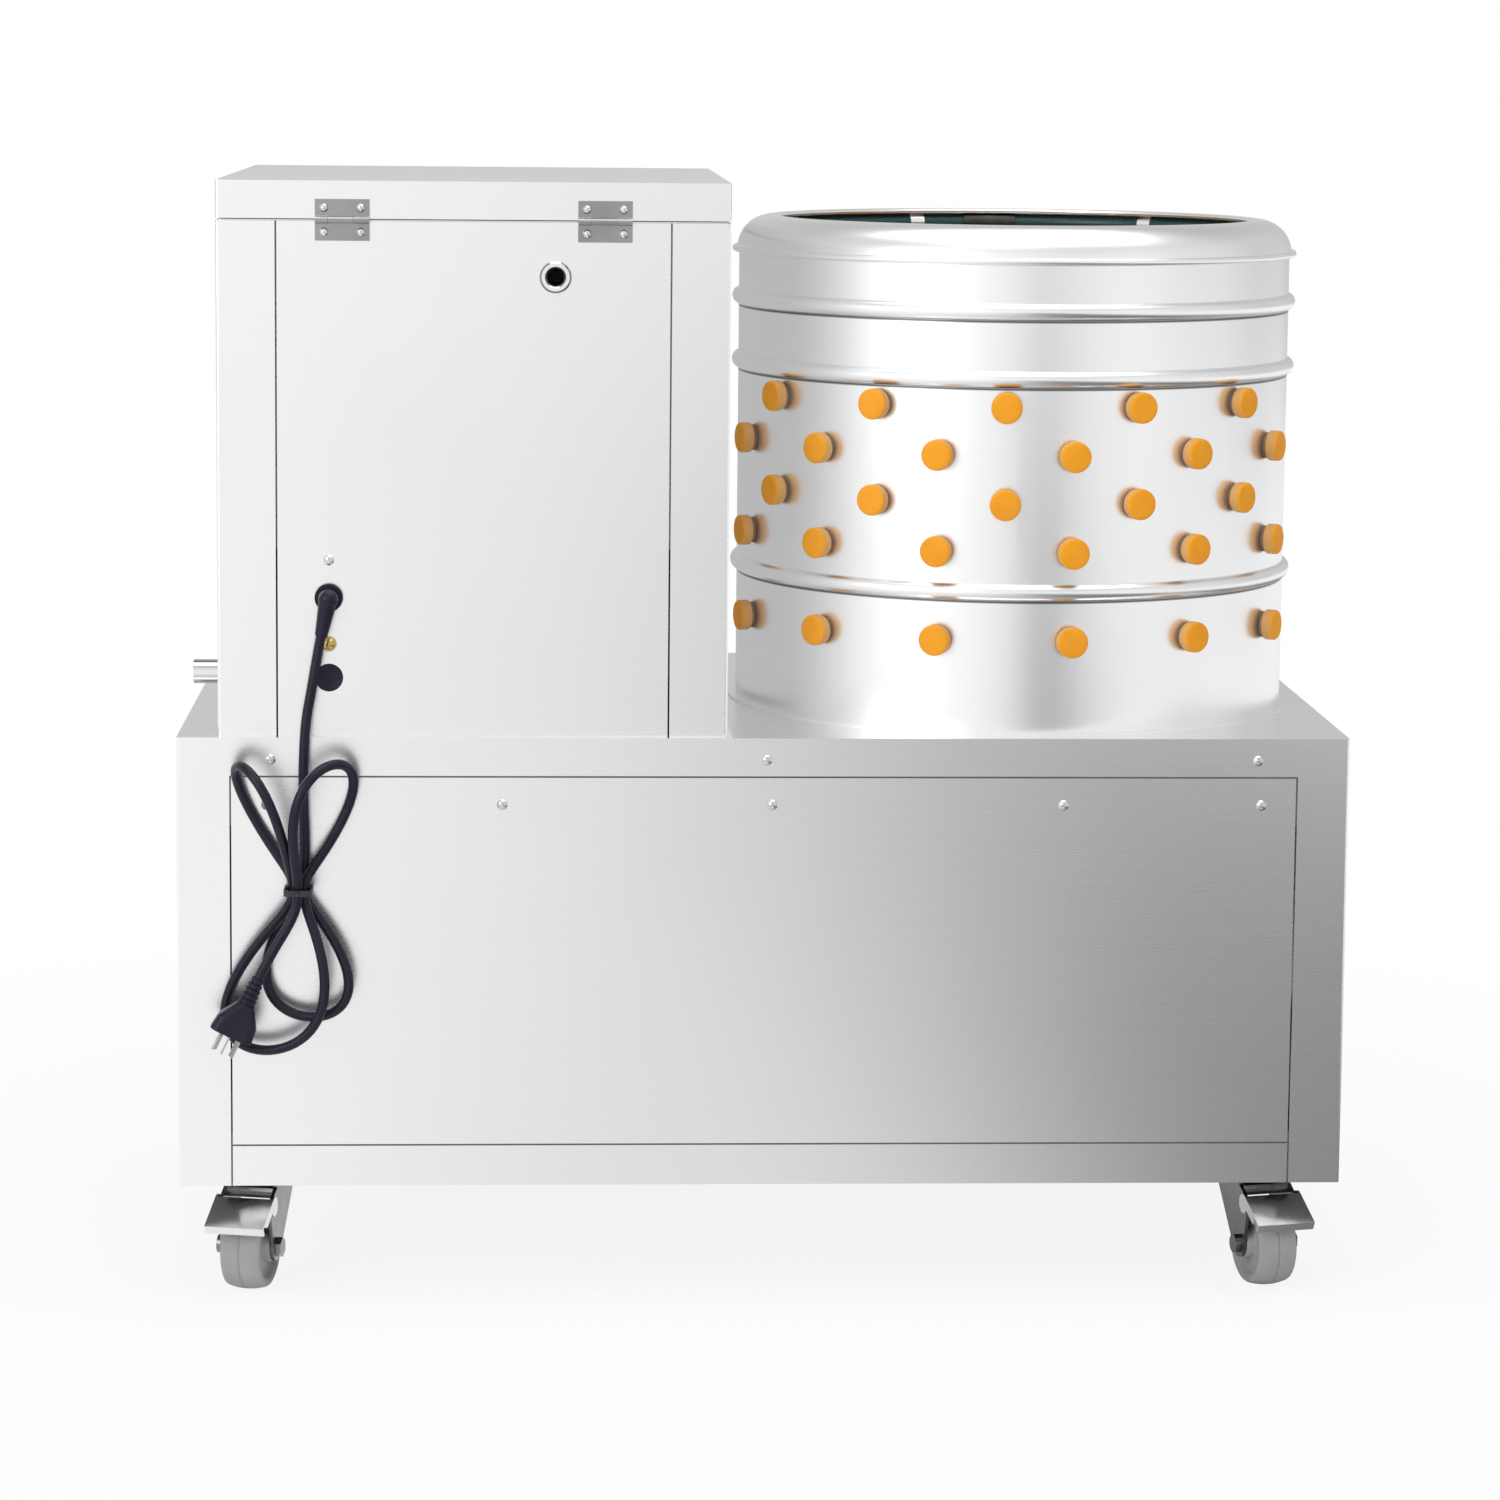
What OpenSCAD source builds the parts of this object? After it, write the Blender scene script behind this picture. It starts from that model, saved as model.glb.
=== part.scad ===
// Scalding and plucking machine on casters.
// A sheet-metal cabinet carries a heated scalding tank with a hinged lid and a plucking drum.
// A motor inside the cabinet turns the drum's finger plate by a V-belt.
// Millimetres, +Z up, +X towards the drum, -Y towards the rear with the mains lead.
// The origin is on the floor, under the middle of the machine.

/* [Cabinet] */
// Width of the cabinet
cab_w = 1010; // [1000:5:1100]
// Depth of the cabinet
cab_d = 540; // [530:5:620]
// Height of the cabinet without its casters
cab_h = 392; // [385:1:440]
// Sheet thickness of the cabinet and of the scalder casing
sheet = 1.2; // [0.8:0.1:1.6]
// Outside radius of the folded corners
fold_r = 2.5; // [2:0.1:5]
// Width of the side panels' returns
stile_w = 45; // [38:1:55]
// Height of the top sheet's turned-down flange
top_flange_h = 33; // [28:1:38]
// Height of the rail along the bottom edge
bottom_rail_h = 35; // [28:1:38]
// Gap at the seams round the panels
seam = 1.5; // [0.8:0.1:2.5]
// Distance of the outer flange screws from the cabinet's sides
flange_screw_edge = 80; // [65:1:125]
// Drop of the flange screws below the top
flange_screw_drop = 19; // [14:1:22]
// Distance of the outer panel screws from the panel's edge
panel_screw_edge = 30; // [15:1:60]
// Drop of the panel screws below the top
panel_screw_drop = 58; // [50:1:66]
// Head radius of the case screws
screw_head_r = 4.6; // [3.5:0.1:6]
// Head height of the case screws
screw_head_h = 2.4; // [1.5:0.1:3]

/* [Frame] */
// Thickness of the angle bars
angle_t = 3; // [2:0.5:4]
// Height of the top angle bars, behind flange and panel
top_angle_h = 75; // [70:1:85]
// Legs of the bottom angle bars
bottom_angle = 40; // [36:1:50]
// Legs of the corner posts
post_leg = 30; // [20:1:40]
// Side of the corner plates that the casters bolt to
corner_plate = 116; // [108:1:140]
// Width of the cross channels under motor and bearings
channel_w = 120; // [116:1:160]
// Height of the cross channels
channel_h = 30; // [20:1:40]

/* [Scalder] */
// Width of the scalder casing
box_w = 436; // [400:1:440]
// Height of the scalder casing without its lid
box_h = 440; // [420:1:500]
// Set-back of the casing from the cabinet's rear and front faces
box_inset = 6; // [2:0.5:12]
// Width of the casing sides' returns
box_return = 50; // [40:1:70]
// Height of the lid
lid_h = 32; // [28:1:50]
// Gap between casing and lid
lid_seam = 2; // [1.6:0.1:4]
// Height of the lid's inner skin above the lid's edge
liner_rise = 6; // [3:0.5:12]
// Gap between casing and tank wall
tank_gap = 20; // [14:1:40]
// Height of the tank floor above the cabinet
tank_floor_h = 160; // [140:1:200]
// Inside radius of the tank's upright corners
tank_corner_r = 20; // [10:1:60]

/* [Lid hinges and handle] */
// Distance of the hinges from the casing's sides
hinge_edge = 107; // [80:1:150]
// Width of a hinge
hinge_w = 46; // [36:1:70]
// Height of a hinge leaf from the pin's axis
leaf_h = 17.5; // [14:0.5:24]
// Length of the lid handle between its bends
handle_w = 130; // [90:1:200]
// Reach of the lid handle from the lid
handle_reach = 40; // [34:1:46]
// Radius of the handle bar
handle_r = 5.5; // [4:0.1:7]

/* [Tank fittings] */
// Distance of the overflow from the casing's left side
overflow_x = 287; // [200:1:340]
// Depth of the overflow below the casing's top
overflow_drop = 46; // [36:1:80]
// Flange radius of the overflow
overflow_flange_r = 13.5; // [12:0.5:18]
// Tube radius of the overflow
overflow_r = 9.5; // [8:0.1:11]
// Distance of the drain from the cabinet's rear face
drain_y = 100; // [70:1:160]
// Height of the drain outlet above the cabinet
drain_z = 43; // [36:1:60]
// Outside radius of the drain pipe
drain_r = 10.5; // [9:0.1:13]
// Free length of the drain stub
drain_stub = 24; // [18:1:30]
// Bend radius of the drain pipe
drain_bend = 24; // [16:1:30]
// Tube radius of the heating element
heater_r = 5.5; // [4:0.1:7]
// Height of the heating element above the tank floor
heater_z = 38; // [30:1:45]
// Height of the perforated guard above the tank floor
guard_z = 72; // [66:1:100]

/* [Drum] */
// Outside radius of the drum
drum_r = 250; // [245:0.5:252]
// Wall of the drum
drum_wall = 1.5; // [1:0.1:2]
// Height of the drum wall
drum_h = 411; // [408:1:412]
// Reach of the drum's bottom flange
drum_flange = 7.5; // [6:0.5:9]
// Radius of the drum's beads
bead_r = 7.5; // [5:0.1:8]
// Height of the lowest bead
low_bead_z = 124; // [118:1:128]
// Height of the highest bead
top_bead_z = 366; // [360:1:376]
// Distance between the two upper beads
bead_gap = 58; // [54:1:60]
// Margin between the drum's flange and the cabinet's right edge
drum_edge = 12.5; // [8:0.5:20]
// Gap between the drum's flange and the scalder casing
drum_gap = 11.5; // [10:0.5:20]
// Radius of the hole in the cabinet under the drum
drop_hole_r = 246; // [240:0.5:246]
// Radius of the drum's rolled rim in section
rim_r = 30; // [29:0.5:31]
// Height of the rim's skirt
rim_skirt = 3; // [2:0.5:5]

/* [Fingers] */
// Head radius of a finger
head_r = 13.5; // [11:0.1:14.5]
// Head height of a finger
head_h = 11; // [8:0.5:14]
// Root radius of the ribbed shank
shank_r = 10; // [8:0.1:11]
// Tip radius of the ribbed shank
tip_r = 8; // [6:0.1:9]
// Number of ribs on the shank
shank_ribs = 5; // [4:1:6]
// Pitch of the ribs
rib_pitch = 11.9; // [9:0.1:12.4]
// Angle between neighbouring fingers of a row
finger_angle = 26.5; // [25:0.1:28]
// Turn of the finger pattern about the drum's axis in degrees
finger_turn = -7; // [-12:1:12]
// Height of the lowest row
low_row_z = 82; // [78:0.5:86]
// Height of the first of the upper rows
first_row_z = 159; // [156:0.5:162]
// Pitch of the upper rows
row_pitch = 41.7; // [41:0.1:42.5]

/* [Finger plate] */
// Radius of the finger plate
plate_r = 238; // [225:0.5:243]
// Thickness of the finger plate
plate_t = 5; // [3:0.5:8]
// Height of the finger plate above the cabinet
plate_h = 20; // [18:0.5:26]
// Radius of the first ring of plate fingers
ring_r = 62; // [60:0.5:66]
// Step between the rings of plate fingers
ring_step = 45; // [40:0.5:46]
// Fingers in the first ring
ring_count = 5; // [4:1:6]
// Radius of the hub under the plate
hub_r = 44; // [35:0.5:46]

/* [Drive] */
// Radius of the main shaft
shaft_r = 15; // [12:0.5:18]
// Pitch radius of the driven pulley
driven_r = 154; // [140:0.5:160]
// Speed ratio of the belt drive
belt_ratio = 5; // [4.5:0.1:5.5]
// Distance between motor and main shaft
drive_span = 350; // [346:1:356]
// Height of the belt above the floor
belt_z = 230; // [222:1:236]
// Width of the belt's back
belt_w = 13; // [11:0.5:17]
// Radius of the motor body
motor_r = 68; // [60:0.5:70]
// Height of the motor body
motor_h = 150; // [120:1:155]
// Height of the bearing stand's top plate above its channel
stand_h = 180; // [176:1:184]

/* [Feather chute] */
// Slope of the chute's floor in degrees
chute_slope = 14.7; // [12:0.1:15]
// Drop of the chute's floor below the cabinet's top at the rear
chute_back_drop = 30; // [28:1:40]
// Half width of the feather outlet
outlet_half = 150; // [120:1:160]
// Height of the feather outlet
outlet_h = 72; // [50:1:76]
// Reach of the chute's lip beyond the front face
lip_reach = 30; // [15:1:34]

/* [Spray ring] */
// Radius of the spray hose
hose_r = 8; // [6:0.5:9]
// Distance of the hose's axis from the drum's axis
hose_ring_r = 224; // [222:0.5:226]
// Height of the hose's axis above the cabinet
hose_z = 426; // [424:0.5:426.5]
// Height of the water inlet above the cabinet
inlet_z = 388; // [384:0.5:392]
// Radius of the water inlet's pipe
inlet_r = 8; // [6:0.5:9]

/* [Controls] */
// Height of the controls above the cabinet
control_z = 80; // [60:1:110]
// Spacing of the controls
control_pitch = 62; // [55:1:70]
// Radius of the push buttons
button_r = 10.5; // [8:0.5:13]
// Radius of the thermostat knob
knob_r = 20; // [15:0.5:24]

/* [Casters] */
// Radius of the wheels
wheel_r = 37.5; // [35:0.5:38]
// Width of the wheels' tread
wheel_w = 36; // [30:1:40]
// Height from the floor to the top of the caster plates
caster_h = 102; // [101:0.5:106]
// Distance of the casters' pins from the cabinet's sides
caster_x = 66; // [62:1:72]
// Distance of the casters' pins from the cabinet's rear and front
caster_y = 64; // [60:1:72]
// Offset of the axle from the caster's pin
caster_trail = 30; // [26:0.5:32]
// Outward turn of the casters in degrees
caster_turn = 13; // [0:1:25]

/* [Mains lead] */
// Diameter of the mains lead
cord_d = 8.6; // [7:0.1:8.8]
// Distance of the cord gland from the casing's left side
gland_x = 95; // [85:1:100]
// Height of the cord gland above the cabinet
gland_z = 120; // [116:1:126]
// Distance of the gland's elbow from the casing
gland_reach = 14; // [12:0.5:16]
// Length of the plug's body
plug_l = 30; // [26:1:36]
// Width of the plug's face
plug_w = 38; // [34:1:42]
// Thickness of the plug's face
plug_t = 25; // [20:0.5:27]

/* [Hidden] */
$fn = 64;

// Cabinet, frame and casing details
rail_return = 12;
screw_r = 2;
top_angle_w = 18;
corner_plate_t = 4;
channel_t = 4;
tank_rim_inset = 2;
// Hinge and handle details
leaf_t = 1.5;
knuckle_r = 3;
hinge_pin_r = 1.5;
leaf_screw_span = 31;
leaf_screw_r = 3.6;
handle_bend = 14;
// Tank fitting details
overflow_bore = 7.5;
drain_bore = 8;
guard_t = 1.5;
guard_hole_r = 9;
guard_pitch = 42;
probe_r = 4;
probe_h = 60;
heater_bend = 70;
heater_run = 280;
// Drum and finger details
rim_sweep = 104;
rim_lap = 2;
rim_bead_r = 3;
rim_hem_r = 2.2;
collar_r = 11.6;
collar_h = 3;
neck_r = 9.3;
finger_gap = 0.3;
shoulder_r = 11.5;
shoulder_h = 4;
rib_cut = 1.5;
// Drive details
belt_h = 8;
plate_bar_t = 8;
plate_bar_w = 100;
bearing_h = 32;
motor_shaft_r = 9.5;
running = 0.05;
// Spray ring, control, caster and gland details
hose_bore = 6;
hose_gap = 8;
inlet_stub = 20;
button_travel = 4;
axle_r = 5;
kingpin_r = 5;
fork_t = 3;
gland_r = 12;
gland_lean = 11;
gland_sleeve = 32;

// Clearances: a seated piece, a weld line between frame bars, and the overshoot of a cut
fit = 0.2;
weld = 0.1;
over = 1;
// Colours of the finishes
steel = "#c9cbcd";
dull_steel = "#9ea1a4";
bright_steel = "#dfe1e3";
orange = "#d98233";
black = "#1c1f2a";
grey_rubber = "#8b8d90";

// Cabinet and casing planes
gland_neck_r = 8.5;
front_reach = max(handle_reach - box_inset, lip_reach);
rear_reach = gland_reach + gland_neck_r - box_inset;
mid_y = (rear_reach - front_reach) / 2;
rear_y = mid_y - cab_d / 2;
front_y = mid_y + cab_d / 2;
skirt_drop = 2;
z0 = caster_h - skirt_drop;
zt = z0 + cab_h;
z_under = zt - sheet - fit;
flange_r = drum_r + drum_flange;
drum_x = cab_w / 2 - drum_edge - flange_r;
box_x1 = drum_x - flange_r - drum_gap;
box_x0 = box_x1 - box_w;
box_mid_x = (box_x0 + box_x1) / 2;
box_y0 = rear_y + box_inset;
box_y1 = front_y - box_inset;
box_d = box_y1 - box_y0;
box_top = zt + box_h;
lid_z0 = box_top + lid_seam;

// Frame planes, seen from the middle of the cabinet
frame_x = cab_w / 2 - sheet - fit;
frame_y = cab_d / 2 - sheet - fit;
rail_z = caster_h + corner_plate_t + weld;
channel_z = rail_z + angle_t + weld;
channel_top = channel_z + channel_h;
panel_half = cab_w / 2 - stile_w - seam;
panel_z0 = z0 + bottom_rail_h + seam;
panel_z1 = zt - top_flange_h - seam;
flange_screw_x = cab_w / 2 - flange_screw_edge;
// Inner panel screws as shares of the panel's half width
inner_panel_screws = panel_half * [-0.495, 0.011, 0.56];
panel_screws = concat([-panel_half + panel_screw_edge], inner_panel_screws,
  [panel_half - panel_screw_edge]);
screw_l = sheet + fit + angle_t + 4;
screw_hole_r = screw_r + fit;

// Drum beads above the cabinet
bead_heights = [low_bead_z, top_bead_z - bead_gap, top_bead_z];

// Fingers: rows as [height, fingers in each half], rings as [radius, count]
finger_hole_r = neck_r + finger_gap;
finger_rows = concat([[low_row_z, 6]], [for (i = [0:3]) [first_row_z + i * row_pitch,
  i % 2 == 0 ? 6 : 5]]);
plate_rings = [for (i = [0:2]) [ring_r + i * ring_step, ring_count + 4 * i]];
plate_z = zt + plate_h;

// Drive: motor, pulleys and belt contact angle
motor_x = drum_x - drive_span;
motor_pitch_r = driven_r / belt_ratio;
belt_back = 3;
belt_contact = acos((driven_r - motor_pitch_r) / drive_span);
groove_w = belt_w + 7;
stand_top = channel_top + stand_h;
stand_leg_y = driven_r + belt_back + 16;
bracket_leg_y = motor_r + 24;
bracket_top = belt_z + groove_w / 2 + 30;
bearing_flange = 96;
bearing_flange_t = 11;
bearing_boss_r = 33;
lower_bearing_z = channel_top + fit;
upper_bearing_z = stand_top + fit;

// Chute: floor heights and plan, seen from the drum's axis
chute_half = drop_hole_r + 2;
chute_back = 21;
chute_flange = 10;
chute_taper_y = 60;
chute_mouth_y = cab_d / 2 - 10;
chute_lip_y = cab_d / 2 + lip_reach;
chute_floor_z = zt - chute_back_drop;
outlet_floor_z = chute_floor_z - tan(chute_slope) * (cab_d - chute_back);
outlet_top_z = outlet_floor_z + outlet_h;
shaft_collar_r = shaft_r + 9;
shaft_collar_top = zt - 38;

// Hinge axis
hinge_y = box_y0 - knuckle_r - weld;
hinge_z = box_top + lid_seam / 2;
hinge_xs = [box_x0 + hinge_edge, box_x1 - hinge_edge];
knuckle_gap = 0.3;
// Ends of the three knuckles along a hinge
knuckle_ends = [0, hinge_w * 0.24, hinge_w * 0.72, hinge_w];

// Tank
tank_x0 = box_x0 + tank_gap;
tank_x1 = box_x1 - tank_gap;
tank_y0 = box_y0 + tank_gap;
tank_y1 = box_y1 - tank_gap;
tank_w = tank_x1 - tank_x0;
tank_d = tank_y1 - tank_y0;
tank_mid_y = (tank_y0 + tank_y1) / 2;
tank_z = zt + tank_floor_h;
tank_bed = tank_z + sheet;
drain_inset = 44;
drain_x = tank_x0 + drain_inset;
drain_ay = rear_y + drain_y;
drain_az = zt + drain_z;
drain_nut_r = 15;
drain_nut_t = 3;
drain_flange_t = 1.8;
drain_flange_r = drain_r + 6;
drain_sleeve = 12;
drain_sleeve_r = drain_r + 1.2;
overflow_ax = box_x0 + overflow_x;
overflow_az = box_top - overflow_drop;
heater_front_y = tank_mid_y + heater_run / 2;
heater_drop_r = 18;
probe_x = tank_x1 - 50;
probe_y = tank_y1 - 60;
guard_leg_r = 6;

// Fittings on the casing's rear and the controls on its front
earth_z = zt + 80;
casing_screw_rise = 152;
casing_screw_z = zt + casing_screw_rise;
control_hole_r = button_r + 1.5;
rocker_w = 12;
rocker_l = 15;
rocker_drop = 9;
rocker_axis = -3;
rocker_pin_r = 1.5;
rocker_tilt = 10;
knob_stem_r = 4;
knob_h = 16;
knob_gap = 4;

// Casters: corner signs and turns, in the order of the nodes
caster_signs = [[-1, -1], [1, -1], [-1, 1], [1, 1]];
caster_turns = [-caster_turn, caster_turn, caster_turn - 180, 180 - caster_turn];
plate_x = 64;
plate_y = 88;
plate_sheet = 3.5;
bolt_x = 44;
bolt_y = 68;
bolt_r = 4;
race_r = 24;
race_h = 5.5;
crown_z = caster_h - plate_sheet - race_h - 0.5;
crown_t = 3.5;
fork_half = wheel_w / 2 + 3;
// Steps of a bent outline
arc_steps = 14;
// Pedal pivot, seen from the caster's pin
pedal_y = -caster_trail - 14;
pedal_z = wheel_r + 39.5;
pedal_pin_r = 2.5;
pedal_t = 2;
pedal_ear_r = 6;
// The pedal's plate passes over the fork's ears
pedal_arm_r = pedal_ear_r + pedal_t + 0.5;
pedal_half = fork_half + fork_t + pedal_t + 0.3;

// Mains lead: gland, waist of the hank and loops
cord_r = cord_d / 2;
cord_sides = 8;
gland_ax = box_x0 + gland_x;
gland_az = zt + gland_z;
gland_off = gland_reach - box_inset;
gland_dir = [-sin(gland_lean), 0, -cos(gland_lean)];
cord_start = [gland_ax, gland_off, gland_az] + (gland_sleeve + weld) * gland_dir;
// Points of the free drop as [x, distance from the rear face, z]
cord_drop = [[-389, 9, 536], [-394, 10, 506], [-396, 12, 470], [-396, 13, 436], [-395, 14, 402]];
waist_x = -400;
waist_z = 364;
strand_pitch = 9.8;
layer_0 = 14;
// Places of the five strands at the waist
strands = [[0.5, 0], [-0.5, 0], [-0.5, 1], [0.5, 1], [0, 2]];
strand_at = [for (s = strands) [waist_x + s[0] * strand_pitch, layer_0 + s[1] * strand_pitch]];
// Loops of the hank as [sideways, outwards, height of the tip, half width sideways, half width outwards]
loops = [[10.5, 5.5, -111, 33, 4.5], [-43, 21, 109.5, -13.5, -22.5], [-30.5, 2, -138.5, -39.5, -9.5],
  [29.5, 10, 111, 21, -21.5]];
loop_rings = 24;
// Share of a loop's length over which the tie draws it in
waist_draw = 0.14;
// Points of the free end as [x, distance from the rear face, z]
cord_tail = [[-402, 34, 350], [-408, 36, 336], [-418, 38, 319], [-427, 39.5, 303], [-433, 40, 291]];
plug_lean = 26;
plug_relief = 24;

// Rectangle with rounded corners about the origin
module rounded_rect(w, d, r) {
  square([w - 2 * r, d], center = true);
  square([w, d - 2 * r], center = true);
  for (sx = [-1, 1], sy = [-1, 1])
    translate([sx * (w / 2 - r), sy * (d / 2 - r)]) circle(r);
}

// Upright sheet with two returns, seen from above: outer face at x = 0, returns towards +x
module folded_side(depth, ret, height) {
  linear_extrude(height) difference() {
    translate([ret, 0]) rounded_rect(2 * ret, depth, fold_r);
    translate([ret, 0]) rounded_rect(2 * ret - 2 * sheet, depth - 2 * sheet, max(fold_r - sheet, fit));
    translate([ret, -depth]) square([2 * ret, 2 * depth]);
  }
}

// Profile drawn in (depth, height), run along X about the middle
module run_x(length) {
  rotate([90, 0, 90]) linear_extrude(length, center = true) children();
}

// Profile drawn in (width, height), run along Y about the middle
module run_y(length) {
  rotate([90, 0, 0]) linear_extrude(length, center = true) children();
}

// Angle profile with its corner at the origin
module angle_profile(a, b) {
  polygon([[0, 0], [a, 0], [a, angle_t], [angle_t, angle_t], [angle_t, b], [0, b]]);
}

// Channel profile, open downwards
module channel_profile() {
  translate([-channel_w / 2, 0]) difference() {
    square([channel_w, channel_h]);
    translate([channel_t, -over]) square([channel_w - 2 * channel_t, channel_h - channel_t + over]);
  }
}

// Children at the rear face and, mirrored, at the front face
module both_faces() {
  for (side = [0, 1])
    translate([0, mid_y, 0]) mirror([0, side, 0]) translate([0, -cab_d / 2, 0]) children();
}

// Pan-head screw along +Z, its seat at z = 0
module pan_screw(r, h, shank_r, shank_l) {
  dome_r = (r * r + h * h) / (2 * h);
  intersection() {
    translate([0, 0, h - dome_r]) sphere(dome_r);
    cylinder(h = h, r = r);
  }
  translate([0, 0, -shank_l]) cylinder(h = shank_l, r = shank_r);
}

// Places of the case screws on a face, as children that look outwards
module at_case_screws() {
  for (x = [-flange_screw_x, 0, flange_screw_x])
    translate([x, 0, zt - flange_screw_drop]) rotate([90, 0, 0]) children();
  for (x = panel_screws)
    translate([x, 0, zt - panel_screw_drop]) rotate([90, 0, 0]) children();
}

module case_screw_holes() {
  at_case_screws() translate([0, 0, -screw_l - over]) cylinder(h = screw_l + 2 * over, r = screw_hole_r);
}

module at_corners() {
  for (s = caster_signs)
    translate([s[0] * (cab_w / 2 - caster_x), mid_y + s[1] * (cab_d / 2 - caster_y), 0]) children();
}

module at_bolts() {
  for (sx = [-1, 1], sy = [-1, 1])
    translate([sx * bolt_x / 2, sy * bolt_y / 2, 0]) children();
}

module base_frame() {
  rail_l = 2 * frame_x;
  post_z = rail_z + angle_t + weld;
  post_h = z_under - angle_t - weld - post_z;
  color(dull_steel) {
    // Long rails: the bottom ones carry the floor, the top ones back flange and panels
    difference() {
      both_faces() translate([0, sheet + fit, 0]) {
        translate([0, 0, rail_z]) run_x(rail_l) angle_profile(bottom_angle, bottom_angle);
        translate([0, 0, z_under]) run_x(rail_l) mirror([0, 1]) angle_profile(top_angle_w, top_angle_h);
      }
      both_faces() case_screw_holes();
    }
    // Short bottom rails
    for (side = [0, 1])
      mirror([side, 0, 0]) translate([-frame_x, mid_y, rail_z])
        run_y(2 * (frame_y - bottom_angle - weld)) angle_profile(bottom_angle, bottom_angle);
    // Corner posts
    for (s = caster_signs)
      translate([s[0] * (frame_x - angle_t - weld), mid_y + s[1] * (frame_y - angle_t - weld), post_z])
        mirror([s[0] > 0 ? 1 : 0, 0, 0]) mirror([0, s[1] > 0 ? 1 : 0, 0])
          linear_extrude(post_h) angle_profile(post_leg, post_leg);
    // Corner plates for the casters
    difference() {
      for (s = caster_signs)
        translate([s[0] * (frame_x - corner_plate / 2), mid_y + s[1] * (frame_y - corner_plate / 2),
          caster_h + corner_plate_t / 2])
          cube([corner_plate, corner_plate, corner_plate_t], center = true);
      at_corners() at_bolts() translate([0, 0, caster_h - over])
        cylinder(h = corner_plate_t + 2 * over, r = bolt_r + fit);
    }
    // Cross channels for the bearings and the motor
    difference() {
      for (x = [drum_x, motor_x])
        translate([x, mid_y, channel_z]) run_y(2 * (frame_y - angle_t - weld)) channel_profile();
      translate([drum_x, mid_y, channel_z]) cylinder(h = channel_h + over, r = shaft_r + 4);
    }
  }
}

module cabinet_top() {
  color(steel) difference() {
    translate([0, mid_y, zt - top_flange_h]) linear_extrude(top_flange_h)
      rounded_rect(cab_w, cab_d, fold_r);
    translate([0, mid_y, zt - top_flange_h - over]) linear_extrude(top_flange_h - sheet + over)
      rounded_rect(cab_w - 2 * sheet, cab_d - 2 * sheet, max(fold_r - sheet, fit));
    translate([drum_x, mid_y, zt - sheet - over]) cylinder(h = sheet + 2 * over, r = drop_hole_r);
    both_faces() case_screw_holes();
  }
}

module cabinet_sides() {
  color(steel) for (side = [0, 1])
    mirror([side, 0, 0]) translate([-cab_w / 2, mid_y, z0])
      folded_side(cab_d, stile_w, cab_h - top_flange_h);
}

module flat_panel() {
  difference() {
    translate([-panel_half, 0, panel_z0]) cube([2 * panel_half, sheet, panel_z1 - panel_z0]);
    case_screw_holes();
  }
}

module rear_panel() {
  color(steel) translate([0, rear_y, 0]) flat_panel();
}

module front_panel() {
  outlet_gap = 1;
  color(steel) difference() {
    translate([0, front_y, 0]) mirror([0, 1, 0]) flat_panel();
    translate([drum_x - outlet_half - outlet_gap, front_y - sheet - over,
      outlet_floor_z - sheet - outlet_gap])
      cube([2 * (outlet_half + outlet_gap), sheet + 2 * over, outlet_h + sheet + 2 * outlet_gap]);
  }
}

module bottom_rails() {
  color(steel) both_faces() translate([0, 0, z0]) run_x(2 * panel_half)
    polygon([[0, 0], [rail_return, 0], [rail_return, sheet], [sheet, sheet],
      [sheet, bottom_rail_h], [0, bottom_rail_h]]);
}

module case_screws() {
  color(bright_steel) {
    both_faces() at_case_screws() pan_screw(screw_head_r, screw_head_h, screw_r, screw_l);
    // Screw above the cord gland
    translate([gland_ax, box_y0, casing_screw_z]) rotate([90, 0, 0])
      pan_screw(leaf_screw_r, screw_head_h, screw_r - fit, sheet + over);
  }
}

// Chute body between its walls, inset by a wall and lifted off its floor
module chute_body(inset, lift) {
  h = chute_half - inset;
  o = outlet_half - inset;
  end = inset > 0 ? over : 0;
  low = outlet_floor_z - chute_back_drop;
  difference() {
    translate([drum_x, mid_y, low]) linear_extrude(z_under - low + end)
      polygon([[-h, chute_back - cab_d / 2 + inset], [h, chute_back - cab_d / 2 + inset],
        [h, chute_taper_y],
        [o, chute_mouth_y], [o, chute_lip_y + end], [-o, chute_lip_y + end],
        [-o, chute_mouth_y], [-h, chute_taper_y]]);
    below_chute_floor(lift);
  }
}

// Everything under the sloping floor
module below_chute_floor(lift) {
  translate([drum_x, rear_y + chute_back, chute_floor_z + lift]) rotate([-chute_slope, 0, 0])
    translate([-cab_w / 2, -cab_d / 2, -cab_h]) cube([cab_w, 2 * cab_d, cab_h]);
}

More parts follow.
